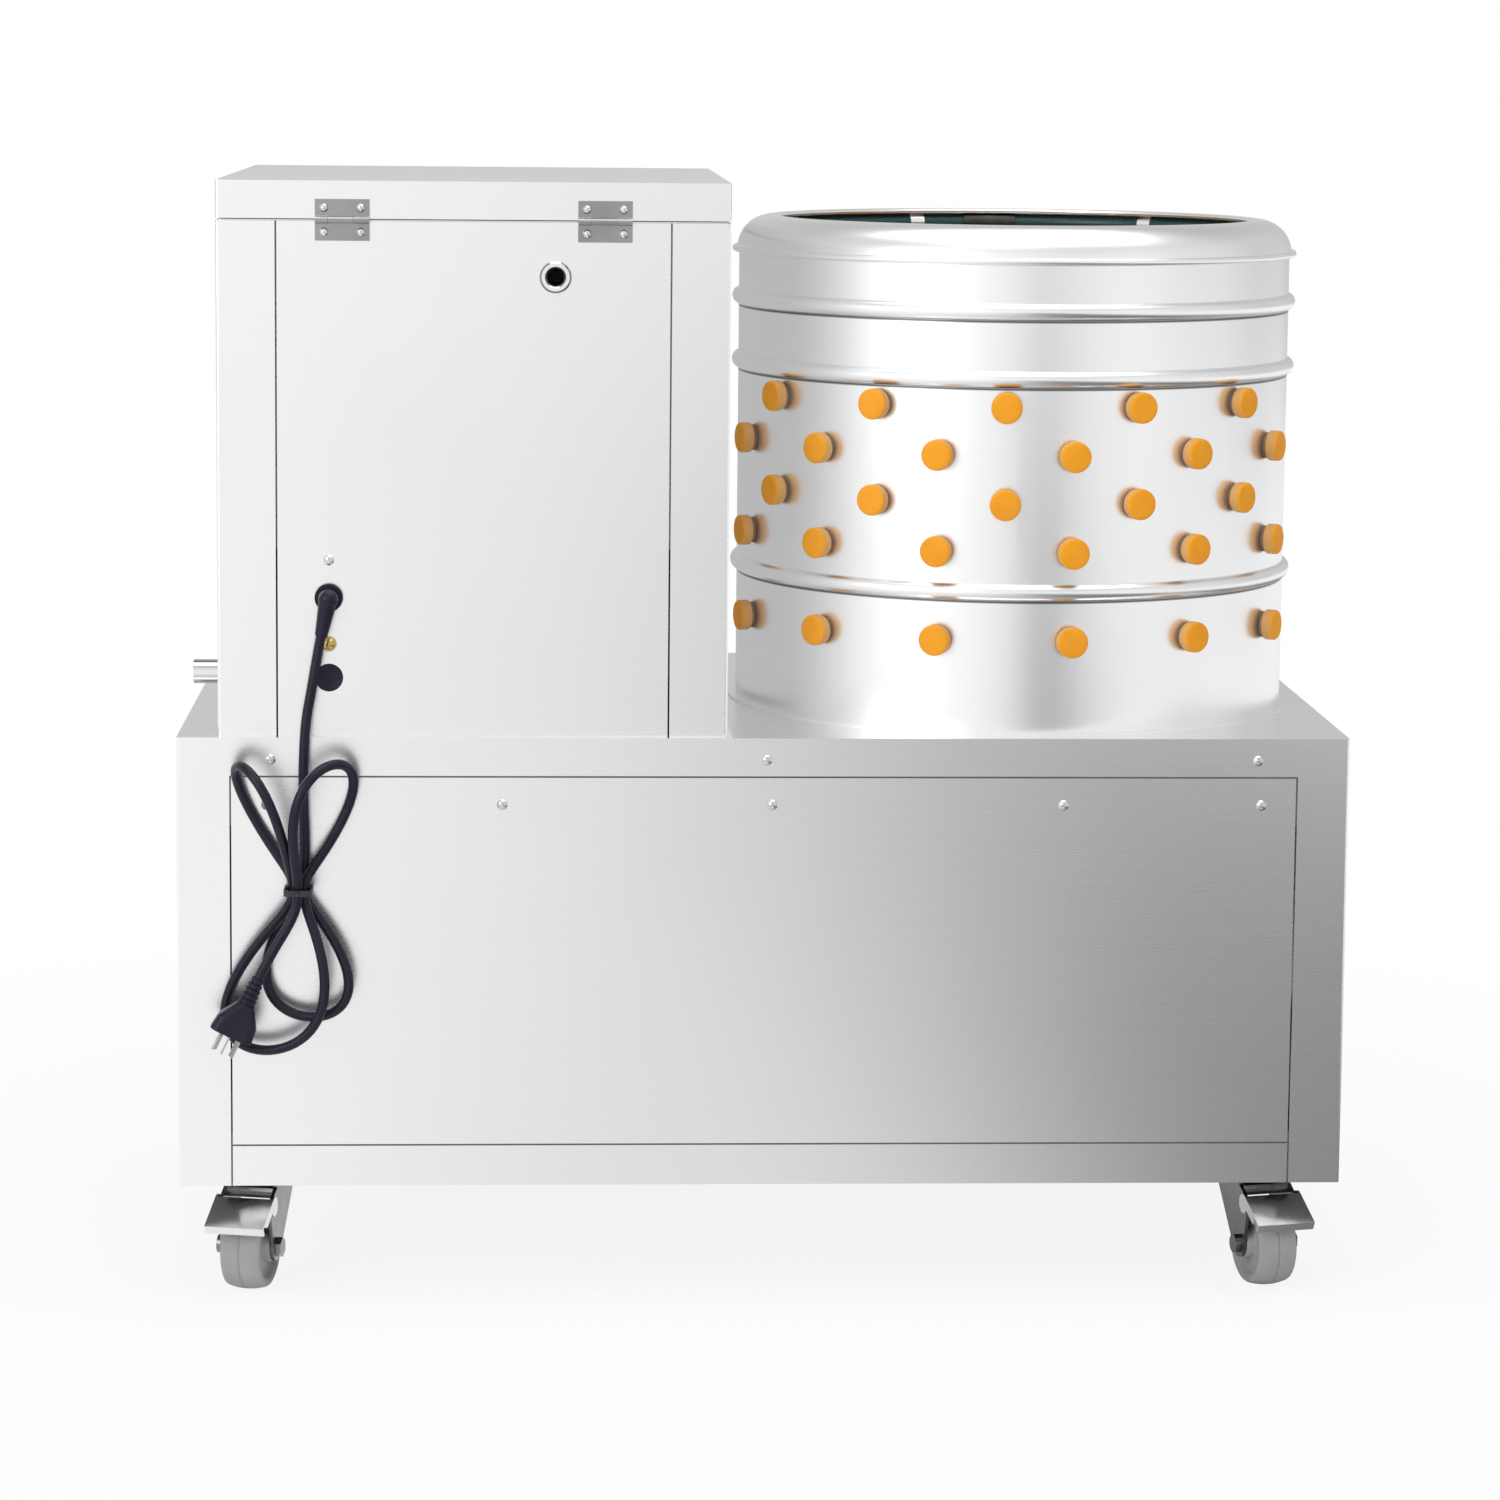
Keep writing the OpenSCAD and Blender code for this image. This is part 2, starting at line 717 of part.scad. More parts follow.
module feather_chute() {
  wall_top = zt - sheet;
  color(steel) difference() {
    union() {
      difference() {
        chute_body(0, 0);
        chute_body(sheet, sheet / cos(chute_slope));
      }
      for (side = [-1, 1])
        translate([drum_x + side * (chute_half + chute_flange / 2 - sheet / 2),
          mid_y + (chute_back - cab_d / 2 + chute_taper_y) / 2, z_under - sheet / 2])
          cube([chute_flange + sheet, cab_d / 2 - chute_back + chute_taper_y, sheet], center = true);
      difference() {
        translate([drum_x, mid_y, outlet_floor_z])
          cylinder(h = shaft_collar_top - outlet_floor_z, r = shaft_collar_r + sheet);
        below_chute_floor(0);
      }
    }
    translate([drum_x, mid_y, outlet_floor_z - over]) cylinder(h = cab_h, r = shaft_collar_r);
    // The walls are lower where the chute passes the front panel
    translate([drum_x - cab_w / 4, front_y - 2 * sheet - 2 * fit - angle_t - over, outlet_top_z])
      cube([cab_w / 2, cab_d, cab_h]);
    translate([drum_x - cab_w / 4, front_y - sheet - 2 * fit - top_angle_w, z_under - angle_t - fit])
      cube([cab_w / 2, cab_d, cab_h]);
  }
}

// Children at each finger of the drum, +Z towards the axis and the seat at z = 0
module at_drum_fingers() {
  for (row = finger_rows, half = [0, 180], i = [0:row[1] - 1])
    translate([drum_x, mid_y, zt + row[0]])
      rotate([0, 0, half + finger_turn + (i - (row[1] - 1) / 2) * finger_angle])
        translate([0, -drum_r, 0]) rotate([-90, 0, 0]) children();
}

// Children at each finger of the plate, seat at the plate's underside
module at_plate_fingers() {
  for (ring = plate_rings, i = [0:ring[1] - 1])
    translate([drum_x, mid_y, plate_z]) rotate([0, 0, i * 360 / ring[1]]) translate([ring[0], 0, 0])
      children();
}

// Ribbed rubber finger through a wall: head below z = 0, shank above
module finger(wall) {
  root = wall + finger_gap + shoulder_h;
  tip = root + shank_ribs * rib_pitch;
  rotate_extrude() polygon(concat(
    [[0, -head_h - collar_h], [head_r - 1, -head_h - collar_h], [head_r, -head_h - collar_h + 1],
      [head_r, -collar_h - 0.8], [collar_r, -collar_h], [collar_r, -finger_gap], [neck_r, -finger_gap],
      [neck_r, wall + finger_gap], [shoulder_r, wall + finger_gap], [shoulder_r, root]],
    [for (i = [0:shank_ribs - 1]) let (r = shank_r + (tip_r - shank_r) * i / (shank_ribs - 1))
      each [[r - rib_cut, root + i * rib_pitch], [r, root + (i + 0.6) * rib_pitch]]],
    [[tip_r - rib_cut, tip], [tip_r - rib_cut - 2, tip + 3], [0, tip + 4]]));
}

module plucking_drum() {
  color(bright_steel) difference() {
    translate([drum_x, mid_y, zt]) rotate_extrude() difference() {
      union() {
        translate([drum_r - drum_wall, 0]) square([drum_wall, drum_h]);
        translate([drum_r - drum_wall, 0]) square([drum_wall + drum_flange, drum_wall]);
        for (z = bead_heights) translate([drum_r - drum_wall, z]) circle(bead_r);
      }
      for (z = bead_heights) translate([drum_r - drum_wall, z]) circle(bead_r - drum_wall);
      square([drum_r - drum_wall, drum_h + over]);
    }
    at_drum_fingers() translate([0, 0, -over]) cylinder(h = drum_wall + 2 * over, r = finger_hole_r);
    translate([drum_x, mid_y + drum_r, zt + inlet_z]) rotate([90, 0, 0])
      cylinder(h = 4 * drum_wall, r = inlet_r + fit, center = true);
  }
}

module drum_rim() {
  outer_r = drum_r + finger_gap + drum_wall;
  arc_r = outer_r - rim_r;
  arc_z = drum_h - rim_lap;
  skirt_z = arc_z - rim_skirt;
  color(bright_steel) translate([drum_x, mid_y, zt]) rotate_extrude() {
    difference() {
      translate([arc_r, arc_z]) circle(rim_r);
      translate([arc_r, arc_z]) circle(rim_r - drum_wall);
      translate([arc_r - 2 * rim_r, arc_z - 2 * rim_r]) square([4 * rim_r, 2 * rim_r]);
      translate([arc_r, arc_z]) polygon([[0, 0], [2 * rim_r * cos(rim_sweep), 2 * rim_r * sin(rim_sweep)],
        [-3 * rim_r, 2 * rim_r * sin(rim_sweep)], [-3 * rim_r, 0]]);
    }
    translate([outer_r - drum_wall, skirt_z]) square([drum_wall, rim_skirt + fit]);
    translate([outer_r + rim_bead_r - drum_wall, skirt_z + rim_bead_r]) circle(rim_bead_r);
    translate([arc_r + (rim_r - drum_wall) * cos(rim_sweep),
      arc_z + (rim_r - drum_wall) * sin(rim_sweep)])
      circle(rim_hem_r);
  }
}

module drum_fingers() {
  color(orange) at_drum_fingers() finger(drum_wall);
}

module plate_fingers() {
  color(orange) at_plate_fingers() finger(plate_t);
}

module feather_plate() {
  color(dull_steel) difference() {
    translate([drum_x, mid_y, plate_z]) cylinder(h = plate_t, r = plate_r);
    translate([drum_x, mid_y, plate_z - over]) cylinder(h = plate_t + 2 * over, r = shaft_r + running);
    at_plate_fingers() translate([0, 0, -over]) cylinder(h = plate_t + 2 * over, r = finger_hole_r);
  }
}

module main_shaft() {
  hub_t = 10;
  hub_sleeve = 30;
  sleeve_r = shaft_r + 7;
  nut_r = 1.5 * shaft_r;
  nut_h = 16;
  end_z = channel_z + channel_h / 2;
  hub_z = plate_z - hub_t;
  color(dull_steel) translate([drum_x, mid_y, 0]) {
    // Shaft with the hub that carries the plate
    translate([0, 0, end_z]) cylinder(h = plate_z + plate_t + nut_h - 2 - end_z, r = shaft_r);
    translate([0, 0, hub_z]) cylinder(h = hub_t, r = hub_r);
    translate([0, 0, hub_z - hub_sleeve]) cylinder(h = hub_sleeve + over, r = sleeve_r);
    // Nut on the plate
    difference() {
      translate([0, 0, plate_z + plate_t + fit]) union() {
        cylinder(h = nut_h, r = nut_r, $fn = 6);
        translate([0, 0, nut_h]) cylinder(h = 4, r1 = nut_r * 0.86, r2 = nut_r * 0.6);
      }
      translate([0, 0, plate_z + plate_t - over]) cylinder(h = nut_h + over, r = shaft_r + running);
    }
  }
}

// Rim of a V-belt pulley in section, pitch radius r
module pulley_section(r, rim, hub, bore) {
  flank = 3.2;
  difference() {
    translate([bore, -groove_w / 2]) square([r + belt_back + 2 - bore, groove_w]);
    if (hub > 0) translate([hub, -groove_w]) square([r - rim - hub, 2 * groove_w]);
    polygon([[r - belt_h + belt_back - 2, -belt_w / 2 + flank - fit],
      [r + belt_back + 4, -belt_w / 2 - flank / 2],
      [r + belt_back + 4, belt_w / 2 + flank / 2], [r - belt_h + belt_back - 2,
        belt_w / 2 - flank + fit]]);
  }
}

module driven_pulley() {
  web_t = 9;
  rim = 26;
  hub = 34;
  web_hole_r = 32;
  color(dull_steel) translate([drum_x, mid_y, belt_z]) difference() {
    union() {
      rotate_extrude() pulley_section(driven_r, rim, hub, shaft_r + running);
      rotate_extrude() translate([hub - over, -web_t / 2])
        square([driven_r - rim - hub + 2 * over, web_t]);
      rotate_extrude() translate([shaft_r + running, -groove_w])
        square([hub - shaft_r - running, 2 * groove_w]);
    }
    for (i = [0:4])
      rotate([0, 0, i * 72]) translate([(driven_r - rim + hub) / 2, 0, -groove_w])
        cylinder(h = 2 * groove_w, r = web_hole_r);
  }
}

module motor_pulley() {
  shaft_top = bracket_top + plate_bar_t - running;
  color(dull_steel) translate([motor_x, mid_y, belt_z]) {
    rotate_extrude() pulley_section(motor_pitch_r, motor_pitch_r, 0, 0);
    // Motor shaft
    translate([0, 0, -groove_w / 2 - 4]) cylinder(h = shaft_top + groove_w / 2 + 4 - belt_z,
      r = motor_shaft_r);
  }
}

module drive_belt() {
  flank = 2.6;
  run_l = drive_span * sin(belt_contact);
  module section(r) translate([r, 0])
    polygon([[belt_back - belt_h, -belt_w / 2 + flank], [belt_back, -belt_w / 2], [belt_back, belt_w / 2],
      [belt_back - belt_h, belt_w / 2 - flank]]);
  color(black) translate([0, mid_y, belt_z]) {
    translate([drum_x, 0, 0]) rotate([0, 0, 180 + belt_contact])
      rotate_extrude(angle = 360 - 2 * belt_contact) section(driven_r);
    translate([motor_x, 0, 0]) rotate([0, 0, 180 - belt_contact])
      rotate_extrude(angle = 2 * belt_contact) section(motor_pitch_r);
    for (side = [-1, 1])
      translate([drum_x, 0, 0]) rotate([0, 0, 180 + side * belt_contact])
        translate([0, -side * run_l / 2, 0]) rotate([90, 0, 0])
          linear_extrude(run_l, center = true) section(driven_r);
  }
}

// Table of a top plate on two legs across the machine
module portal(x, top, leg_y, hole_r) {
  color(dull_steel) translate([x, mid_y, 0]) {
    difference() {
      translate([0, 0, top - plate_bar_t / 2])
        cube([plate_bar_w, 2 * leg_y + plate_bar_t, plate_bar_t], center = true);
      cylinder(h = top + over, r = hole_r);
    }
    for (side = [-1, 1])
      translate([-plate_bar_w / 2, side * leg_y - plate_bar_t / 2, channel_top + weld])
        cube([plate_bar_w, plate_bar_t, top - plate_bar_t - channel_top - 2 * weld]);
  }
}

module bearing_stand() {
  portal(drum_x, stand_top, stand_leg_y, shaft_r + 4);
}

module motor_bracket() {
  portal(motor_x, bracket_top, bracket_leg_y, motor_shaft_r + 6);
}

module shaft_bearings() {
  bolt_inset = 14;
  color(grey_rubber) for (z = [lower_bearing_z, upper_bearing_z])
    translate([drum_x, mid_y, z]) difference() {
      union() {
        linear_extrude(bearing_flange_t) rounded_rect(bearing_flange, bearing_flange, 12);
        cylinder(h = bearing_h, r1 = bearing_boss_r + 4, r2 = bearing_boss_r);
      }
      translate([0, 0, -over]) cylinder(h = bearing_h + 2 * over, r = shaft_r + running);
      for (sx = [-1, 1], sy = [-1, 1])
        translate([sx * (bearing_flange / 2 - bolt_inset), sy * (bearing_flange / 2 - bolt_inset), -over])
          cylinder(h = bearing_flange_t + 2 * over, r = bolt_r);
    }
}

module motor_body() {
  flange_t = 10;
  fin_n = 20;
  fin_reach = 8;
  fin_t = 2.5;
  cowl_h = 38;
  terminal = [24, 64, 60];
  color(dull_steel) translate([motor_x, mid_y, bracket_top]) {
    // Flange and finned frame, open below for the shaft
    difference() {
      union() {
        cylinder(h = flange_t, r = motor_r + 6);
        cylinder(h = flange_t + motor_h, r = motor_r - fin_reach);
        for (i = [0:fin_n - 1])
          rotate([0, 0, (i + 0.5) * 360 / fin_n]) translate([motor_r / 2, -fin_t / 2, flange_t - over])
            cube([motor_r / 2, fin_t, motor_h - 2 * over]);
      }
      translate([0, 0, -over]) cylinder(h = plate_bar_t + over, r = motor_shaft_r + running);
    }
    // Terminal box
    translate([-motor_r - fit - terminal[0], -terminal[1] / 2, flange_t + motor_h * 0.45]) cube(terminal);
    // Fan cowl
    translate([0, 0, flange_t + motor_h + weld]) rotate_extrude()
      polygon([[0, 0], [motor_r, 0], [motor_r, cowl_h - 10], [motor_r - 10, cowl_h], [0, cowl_h]]);
  }
}

module spray_hose() {
  color("#23402f") translate([drum_x, mid_y, zt + hose_z]) rotate([0, 0, 90 + hose_gap / 2])
    rotate_extrude(angle = 360 - hose_gap) translate([hose_ring_r, 0]) difference() {
      circle(hose_r);
      circle(hose_bore);
    }
}

module hose_clips() {
  clip_t = 1.2;
  clip_w = 14;
  clip_first = 19;
  tab_h = 26;
  band_r = hose_r + fit;
  wall_x = drum_r - drum_wall - fit;
  // Each clip is a band round the hose with a tab down the drum's wall
  color(steel) translate([drum_x, mid_y, zt + hose_z]) for (i = [0:5])
    rotate([0, 0, 90 + clip_first + i * 60]) translate([0, clip_w / 2, 0]) rotate([90, 0, 0])
      linear_extrude(clip_w) {
        difference() {
          translate([hose_ring_r, 0]) circle(band_r + clip_t);
          translate([hose_ring_r, 0]) circle(band_r);
        }
        translate([hose_ring_r, -band_r - clip_t]) square([wall_x - hose_ring_r, clip_t]);
        translate([wall_x - clip_t, -band_r - tab_h]) square([clip_t, tab_h]);
      }
}

module water_inlet() {
  nut_r = 14;
  nut_t = 6;
  nut_x = drum_r + finger_gap;
  riser_r = inlet_r - 1;
  tee_half = hose_ring_r * sin(hose_gap / 2) + 9;
  color("#b8a15a") translate([drum_x, mid_y, zt]) {
    difference() {
      union() {
        // Pipe through the wall, riser and tee
        translate([0, hose_ring_r, inlet_z]) rotate([-90, 0, 0])
          cylinder(h = nut_x + nut_t + inlet_stub - hose_ring_r, r = inlet_r);
        translate([0, nut_x, inlet_z]) rotate([-90, 0, 0]) cylinder(h = nut_t, r = nut_r, $fn = 6);
        translate([0, hose_ring_r, inlet_z - inlet_r])
          cylinder(h = hose_z - inlet_z + inlet_r, r = riser_r);
        translate([-tee_half, hose_ring_r - 0.5, hose_z]) rotate([0, 90, 0])
          cylinder(h = 2 * tee_half, r = hose_r + 2.6);
      }
      // Room for the two ends of the hose, and the waterway
      rotate([0, 0, 90 - hose_gap]) rotate_extrude(angle = 2 * hose_gap)
        translate([hose_ring_r, hose_z]) circle(hose_r + fit);
      translate([0, hose_ring_r, inlet_z]) rotate([-90, 0, 0]) cylinder(h = drum_r, r = inlet_r - 2.5);
      translate([0, hose_ring_r, inlet_z]) cylinder(h = hose_z - inlet_z, r = riser_r - 2.5);
    }
  }
}

module scalder_sides() {
  color(steel) difference() {
    union() {
      translate([box_x0, mid_y, zt]) folded_side(box_d, box_return, box_h);
      translate([box_x1, mid_y, zt]) mirror([1, 0, 0]) folded_side(box_d, box_return, box_h);
    }
    translate([box_x0 - over, drain_ay, drain_az]) rotate([0, 90, 0])
      cylinder(h = sheet + 2 * over, r = drain_r + fit);
  }
}

module casing_panel() {
  w = box_w - 2 * box_return - 2 * seam;
  translate([box_mid_x - w / 2, 0, zt]) cube([w, sheet, box_h]);
}

module scalder_rear_panel() {
  color(steel) difference() {
    translate([0, box_y0, 0]) casing_panel();
    rear_bore(overflow_ax, overflow_az, overflow_r + fit);
    rear_bore(gland_ax, gland_az, gland_neck_r - 1);
    rear_bore(gland_ax, earth_z, screw_r + fit);
    rear_bore(gland_ax, casing_screw_z, screw_r);
  }
}

// Hole through the casing's rear panel
module rear_bore(x, z, r) {
  translate([x, box_y0 - over, z]) rotate([-90, 0, 0]) cylinder(h = sheet + 2 * over, r = r);
}

module scalder_front_panel() {
  color(steel) difference() {
    translate([0, box_y1 - sheet, 0]) casing_panel();
    for (i = [0:3]) at_control(i) translate([0, 0, -sheet - over])
      cylinder(h = sheet + 2 * over, r = control_hole_r);
  }
}

// Children at one of the four controls, looking out of the casing's front
module at_control(i) {
  translate([box_mid_x + (1.5 - i) * control_pitch, box_y1, zt + control_z]) rotate([-90, 0, 0])
    children();
}

// Open-topped box with rounded upright corners
module tank_block(inset, z, top) {
  translate([(tank_x0 + tank_x1) / 2, tank_mid_y, z]) linear_extrude(top - z)
    rounded_rect(tank_w - 2 * inset, tank_d - 2 * inset, tank_corner_r + sheet - inset);
}

module scalding_tank() {
  rim_w = box_w - 2 * tank_rim_inset;
  rim_d = box_d - 2 * tank_rim_inset;
  bend_x = tank_w / 2 - sheet - tank_corner_r;
  bend_y = tank_d / 2 - sheet - tank_corner_r;
  color(bright_steel) difference() {
    union() {
      tank_block(0, tank_z, box_top + sheet);
      // Rim that rests on the casing
      translate([box_mid_x, mid_y, box_top]) linear_extrude(sheet) rounded_rect(rim_w, rim_d, fold_r);
    }
    tank_block(sheet, tank_bed, box_top + sheet + over);
    // Drain, heater and probe holes in the floor, overflow hole in the rear wall
    translate([drain_x, drain_ay, tank_z - over]) cylinder(h = sheet + 2 * over, r = drain_r + fit);
    for (side = [-1, 1])
      translate([box_mid_x + side * heater_bend, heater_front_y + heater_drop_r, tank_z - over])
        cylinder(h = sheet + 2 * over, r = heater_r + fit);
    translate([probe_x, probe_y, tank_z - over]) cylinder(h = sheet + 2 * over, r = probe_r + fit);
    translate([overflow_ax, tank_y0 - over, overflow_az]) rotate([-90, 0, 0])
      cylinder(h = sheet + 2 * over, r = overflow_r + fit);
    // Weld lines: floor, walls, corners and rim are sheets of their own
    for (z = [tank_bed, box_top - weld])
      translate([tank_x0 - over, tank_y0 - over, z]) cube([tank_w + 2 * over, tank_d + 2 * over, weld]);
    for (side = [-1, 1]) {
      translate([box_mid_x + side * bend_x - weld / 2, mid_y - box_d / 2, tank_bed]) cube([weld, box_d, box_h]);
      translate([box_mid_x - box_w / 2, mid_y + side * bend_y - weld / 2, tank_bed]) cube([box_w, weld, box_h]);
    }
  }
}

module tank_guard() {
  gap = 4;
  nx = floor((tank_w / 2 - 40) / guard_pitch);
  ny = floor((tank_d / 2 - 40) / guard_pitch);
  leg_z = tank_bed + fit;
  color(steel) {
    difference() {
      translate([(tank_x0 + tank_x1) / 2, tank_mid_y, tank_bed + guard_z]) linear_extrude(guard_t)
        rounded_rect(tank_w - 2 * sheet - 2 * gap, tank_d - 2 * sheet - 2 * gap, tank_corner_r);
      for (i = [-nx:nx], j = [-ny:ny])
        translate([box_mid_x + i * guard_pitch, tank_mid_y + j * guard_pitch, tank_bed + guard_z - over])
          cylinder(h = guard_t + 2 * over, r = guard_hole_r);
    }
    for (sx = [-1, 1], sy = [-1, 1])
      translate([box_mid_x + sx * (nx - 0.5) * guard_pitch, tank_mid_y + sy * (ny - 0.5) * guard_pitch,
        leg_z])
        cylinder(h = tank_bed + guard_z - leg_z, r = guard_leg_r);
  }
}

module heating_element() {
  end_z = tank_z - 26;
  axis_z = tank_bed + heater_z;
  nut_r = heater_r + 5;
  nut_t = 5;
  color(dull_steel) {
    // Hairpin tube: rear bend, two runs, two elbows down through the tank floor
    translate([box_mid_x, tank_mid_y - heater_run / 2, axis_z]) rotate([0, 0, 180])
      rotate_extrude(angle = 180) translate([heater_bend, 0]) circle(heater_r);
    for (side = [-1, 1]) translate([box_mid_x + side * heater_bend, 0, 0]) {
      translate([0, tank_mid_y - heater_run / 2, axis_z]) rotate([-90, 0, 0])
        cylinder(h = heater_run, r = heater_r);
      translate([0, heater_front_y, axis_z - heater_drop_r]) rotate([90, 0, 90])
        rotate_extrude(angle = 90) translate([heater_drop_r, 0]) circle(heater_r);
      translate([0, heater_front_y + heater_drop_r, end_z])
        cylinder(h = axis_z - heater_drop_r - end_z, r = heater_r);
      // Nut on the tank floor
      translate([0, heater_front_y + heater_drop_r, tank_bed + fit])
        cylinder(h = nut_t, r = nut_r, $fn = 6);
    }
  }
}

module temperature_probe() {
  color(bright_steel) translate([probe_x, probe_y, 0]) {
    translate([0, 0, tank_z - 18]) cylinder(h = tank_bed + probe_h - probe_r - tank_z + 18, r = probe_r);
    translate([0, 0, tank_bed + probe_h - probe_r]) sphere(probe_r);
    translate([0, 0, tank_bed + fit]) cylinder(h = 5, r = probe_r + 4, $fn = 6);
  }
}

module overflow_fitting() {
  flange_t = 3;
  lip_t = 1.6;
  tube_end = tank_y0 + sheet + 4;
  color(bright_steel) translate([overflow_ax, box_y0 - fit, overflow_az]) rotate([-90, 0, 0])
    rotate_extrude()
    polygon([[overflow_bore, -flange_t], [overflow_bore + lip_t, -flange_t - lip_t],
      [overflow_flange_r - lip_t, -flange_t - lip_t], [overflow_flange_r, -flange_t], [overflow_flange_r,
        0],
      [overflow_r, 0], [overflow_r, tube_end - box_y0 + fit], [overflow_bore, tube_end - box_y0 + fit]]);
}

module drain_pipe() {
  // Swept length from the tank floor to the outlet, bore and all
  module run(r, end) {
    translate([drain_x, drain_ay, drain_az + drain_bend])
      cylinder(h = tank_bed + fit + drain_flange_t - drain_az - drain_bend + end, r = r);
    translate([drain_x - drain_bend, drain_ay, drain_az + drain_bend]) rotate([90, 90, 0])
      rotate_extrude(angle = 90) translate([drain_bend, 0]) circle(r);
    translate([box_x0 - drain_nut_t - fit - drain_stub - end, drain_ay, drain_az]) rotate([0, 90, 0])
      cylinder(h = drain_x - drain_bend - box_x0 + drain_nut_t + fit + drain_stub + end, r = r);
  }
  color(bright_steel) difference() {
    union() {
      run(drain_r, 0);
      // Sleeves soldered over both ends of the bend
      translate([drain_x, drain_ay, drain_az + drain_bend - drain_sleeve / 2])
        cylinder(h = drain_sleeve, r = drain_sleeve_r);
      translate([drain_x - drain_bend - drain_sleeve / 2, drain_ay, drain_az]) rotate([0, 90, 0])
        cylinder(h = drain_sleeve, r = drain_sleeve_r);
      // Flange in the tank, nut at the casing
      translate([drain_x, drain_ay, tank_bed + fit]) cylinder(h = drain_flange_t, r = drain_flange_r);
      translate([box_x0 - drain_nut_t - fit, drain_ay, drain_az]) rotate([0, 90, 0])
        cylinder(h = drain_nut_t, r = drain_nut_r);
    }
    run(drain_bore, over);
  }
}

// Knuckles of one leaf, from the list of their numbers
module knuckles(picked) {
  for (k = picked)
    translate([knuckle_ends[k] + knuckle_gap / 2, 0, 0]) rotate([0, 90, 0])
      cylinder(h = knuckle_ends[k + 1] - knuckle_ends[k] - knuckle_gap, r = knuckle_r);
}

// Leaf below the axis, with its knuckles bored for the pin; the axis is along X at the origin
module hinge_leaf(picked) {
  leaf_top = -knuckle_r - 0.4;
  difference() {
    union() {
      translate([0, knuckle_r - leaf_t, -leaf_h]) cube([hinge_w, leaf_t, leaf_h + leaf_top]);
      for (k = picked)
        translate([knuckle_ends[k] + knuckle_gap / 2, knuckle_r - leaf_t, -leaf_h])
          cube([knuckle_ends[k + 1] - knuckle_ends[k] - knuckle_gap, leaf_t, leaf_h]);
      knuckles(picked);
    }
    translate([-over, 0, 0]) rotate([0, 90, 0])
      cylinder(h = hinge_w + 2 * over, r = hinge_pin_r + running);
  }
}

module leaf_screws() {
  screw_z = -(leaf_h + knuckle_r) / 2;
  for (side = [-1, 1])
    translate([hinge_w / 2 + side * leaf_screw_span / 2, knuckle_r - leaf_t - fit / 2, screw_z])
      rotate([90, 0, 0])
      pan_screw(leaf_screw_r, 2, screw_r - fit, fit / 4);
}

module hinge_lower_leaves() {
  color(dull_steel) for (x = hinge_xs) translate([x - hinge_w / 2, hinge_y, hinge_z]) {
    hinge_leaf([0, 2]);
    translate([fit, 0, 0]) rotate([0, 90, 0]) cylinder(h = hinge_w - 2 * fit, r = hinge_pin_r);
    leaf_screws();
  }
}

module hinge_upper_leaves() {
  color(dull_steel) for (x = hinge_xs) translate([x - hinge_w / 2, hinge_y, hinge_z]) mirror([0, 0, 1]) {
    hinge_leaf([1]);
    leaf_screws();
  }
}

module earth_stud() {
  washer_r = 6.5;
  color("#b98f3c") translate([gland_ax, box_y0 - fit, earth_z]) rotate([90, 0, 0]) {
    cylinder(h = 1.2, r = washer_r);
    translate([0, 0, 1.2]) pan_screw(5, 3, screw_r, sheet + 6);
  }
}

module scalder_lid() {
  color(steel) translate([box_mid_x, mid_y, lid_z0]) difference() {
    linear_extrude(lid_h) rounded_rect(box_w, box_d, fold_r);
    translate([0, 0, -over]) linear_extrude(lid_h - sheet + over)
      rounded_rect(box_w - 2 * sheet, box_d - 2 * sheet, max(fold_r - sheet, fit));
  }
}

module lid_liner() {
  color(steel) translate([box_mid_x, mid_y, lid_z0 + liner_rise]) linear_extrude(sheet)
    rounded_rect(box_w - 2 * sheet - 2 * fit, box_d - 2 * sheet - 2 * fit,
      max(fold_r - sheet - fit, fit));
}

module lid_handle() {
  arm = handle_reach - handle_r - handle_bend;
  foot_r = handle_r + 4;
  foot_t = 2.5;
  color(bright_steel) translate([box_mid_x, box_y1, lid_z0 + lid_h / 2]) {
    rotate([0, 90, 0]) translate([0, handle_reach - handle_r, 0])
      cylinder(h = handle_w - 2 * handle_bend, r = handle_r, center = true);
    for (side = [0, 1]) mirror([side, 0, 0]) {
      translate([handle_w / 2, 0, 0]) rotate([-90, 0, 0]) cylinder(h = arm, r = handle_r);
      translate([handle_w / 2 - handle_bend, arm, 0]) rotate_extrude(angle = 90)
        translate([handle_bend, 0]) circle(handle_r);
      translate([handle_w / 2, 0, 0]) rotate([-90, 0, 0]) cylinder(h = foot_t, r = foot_r);
    }
  }
}

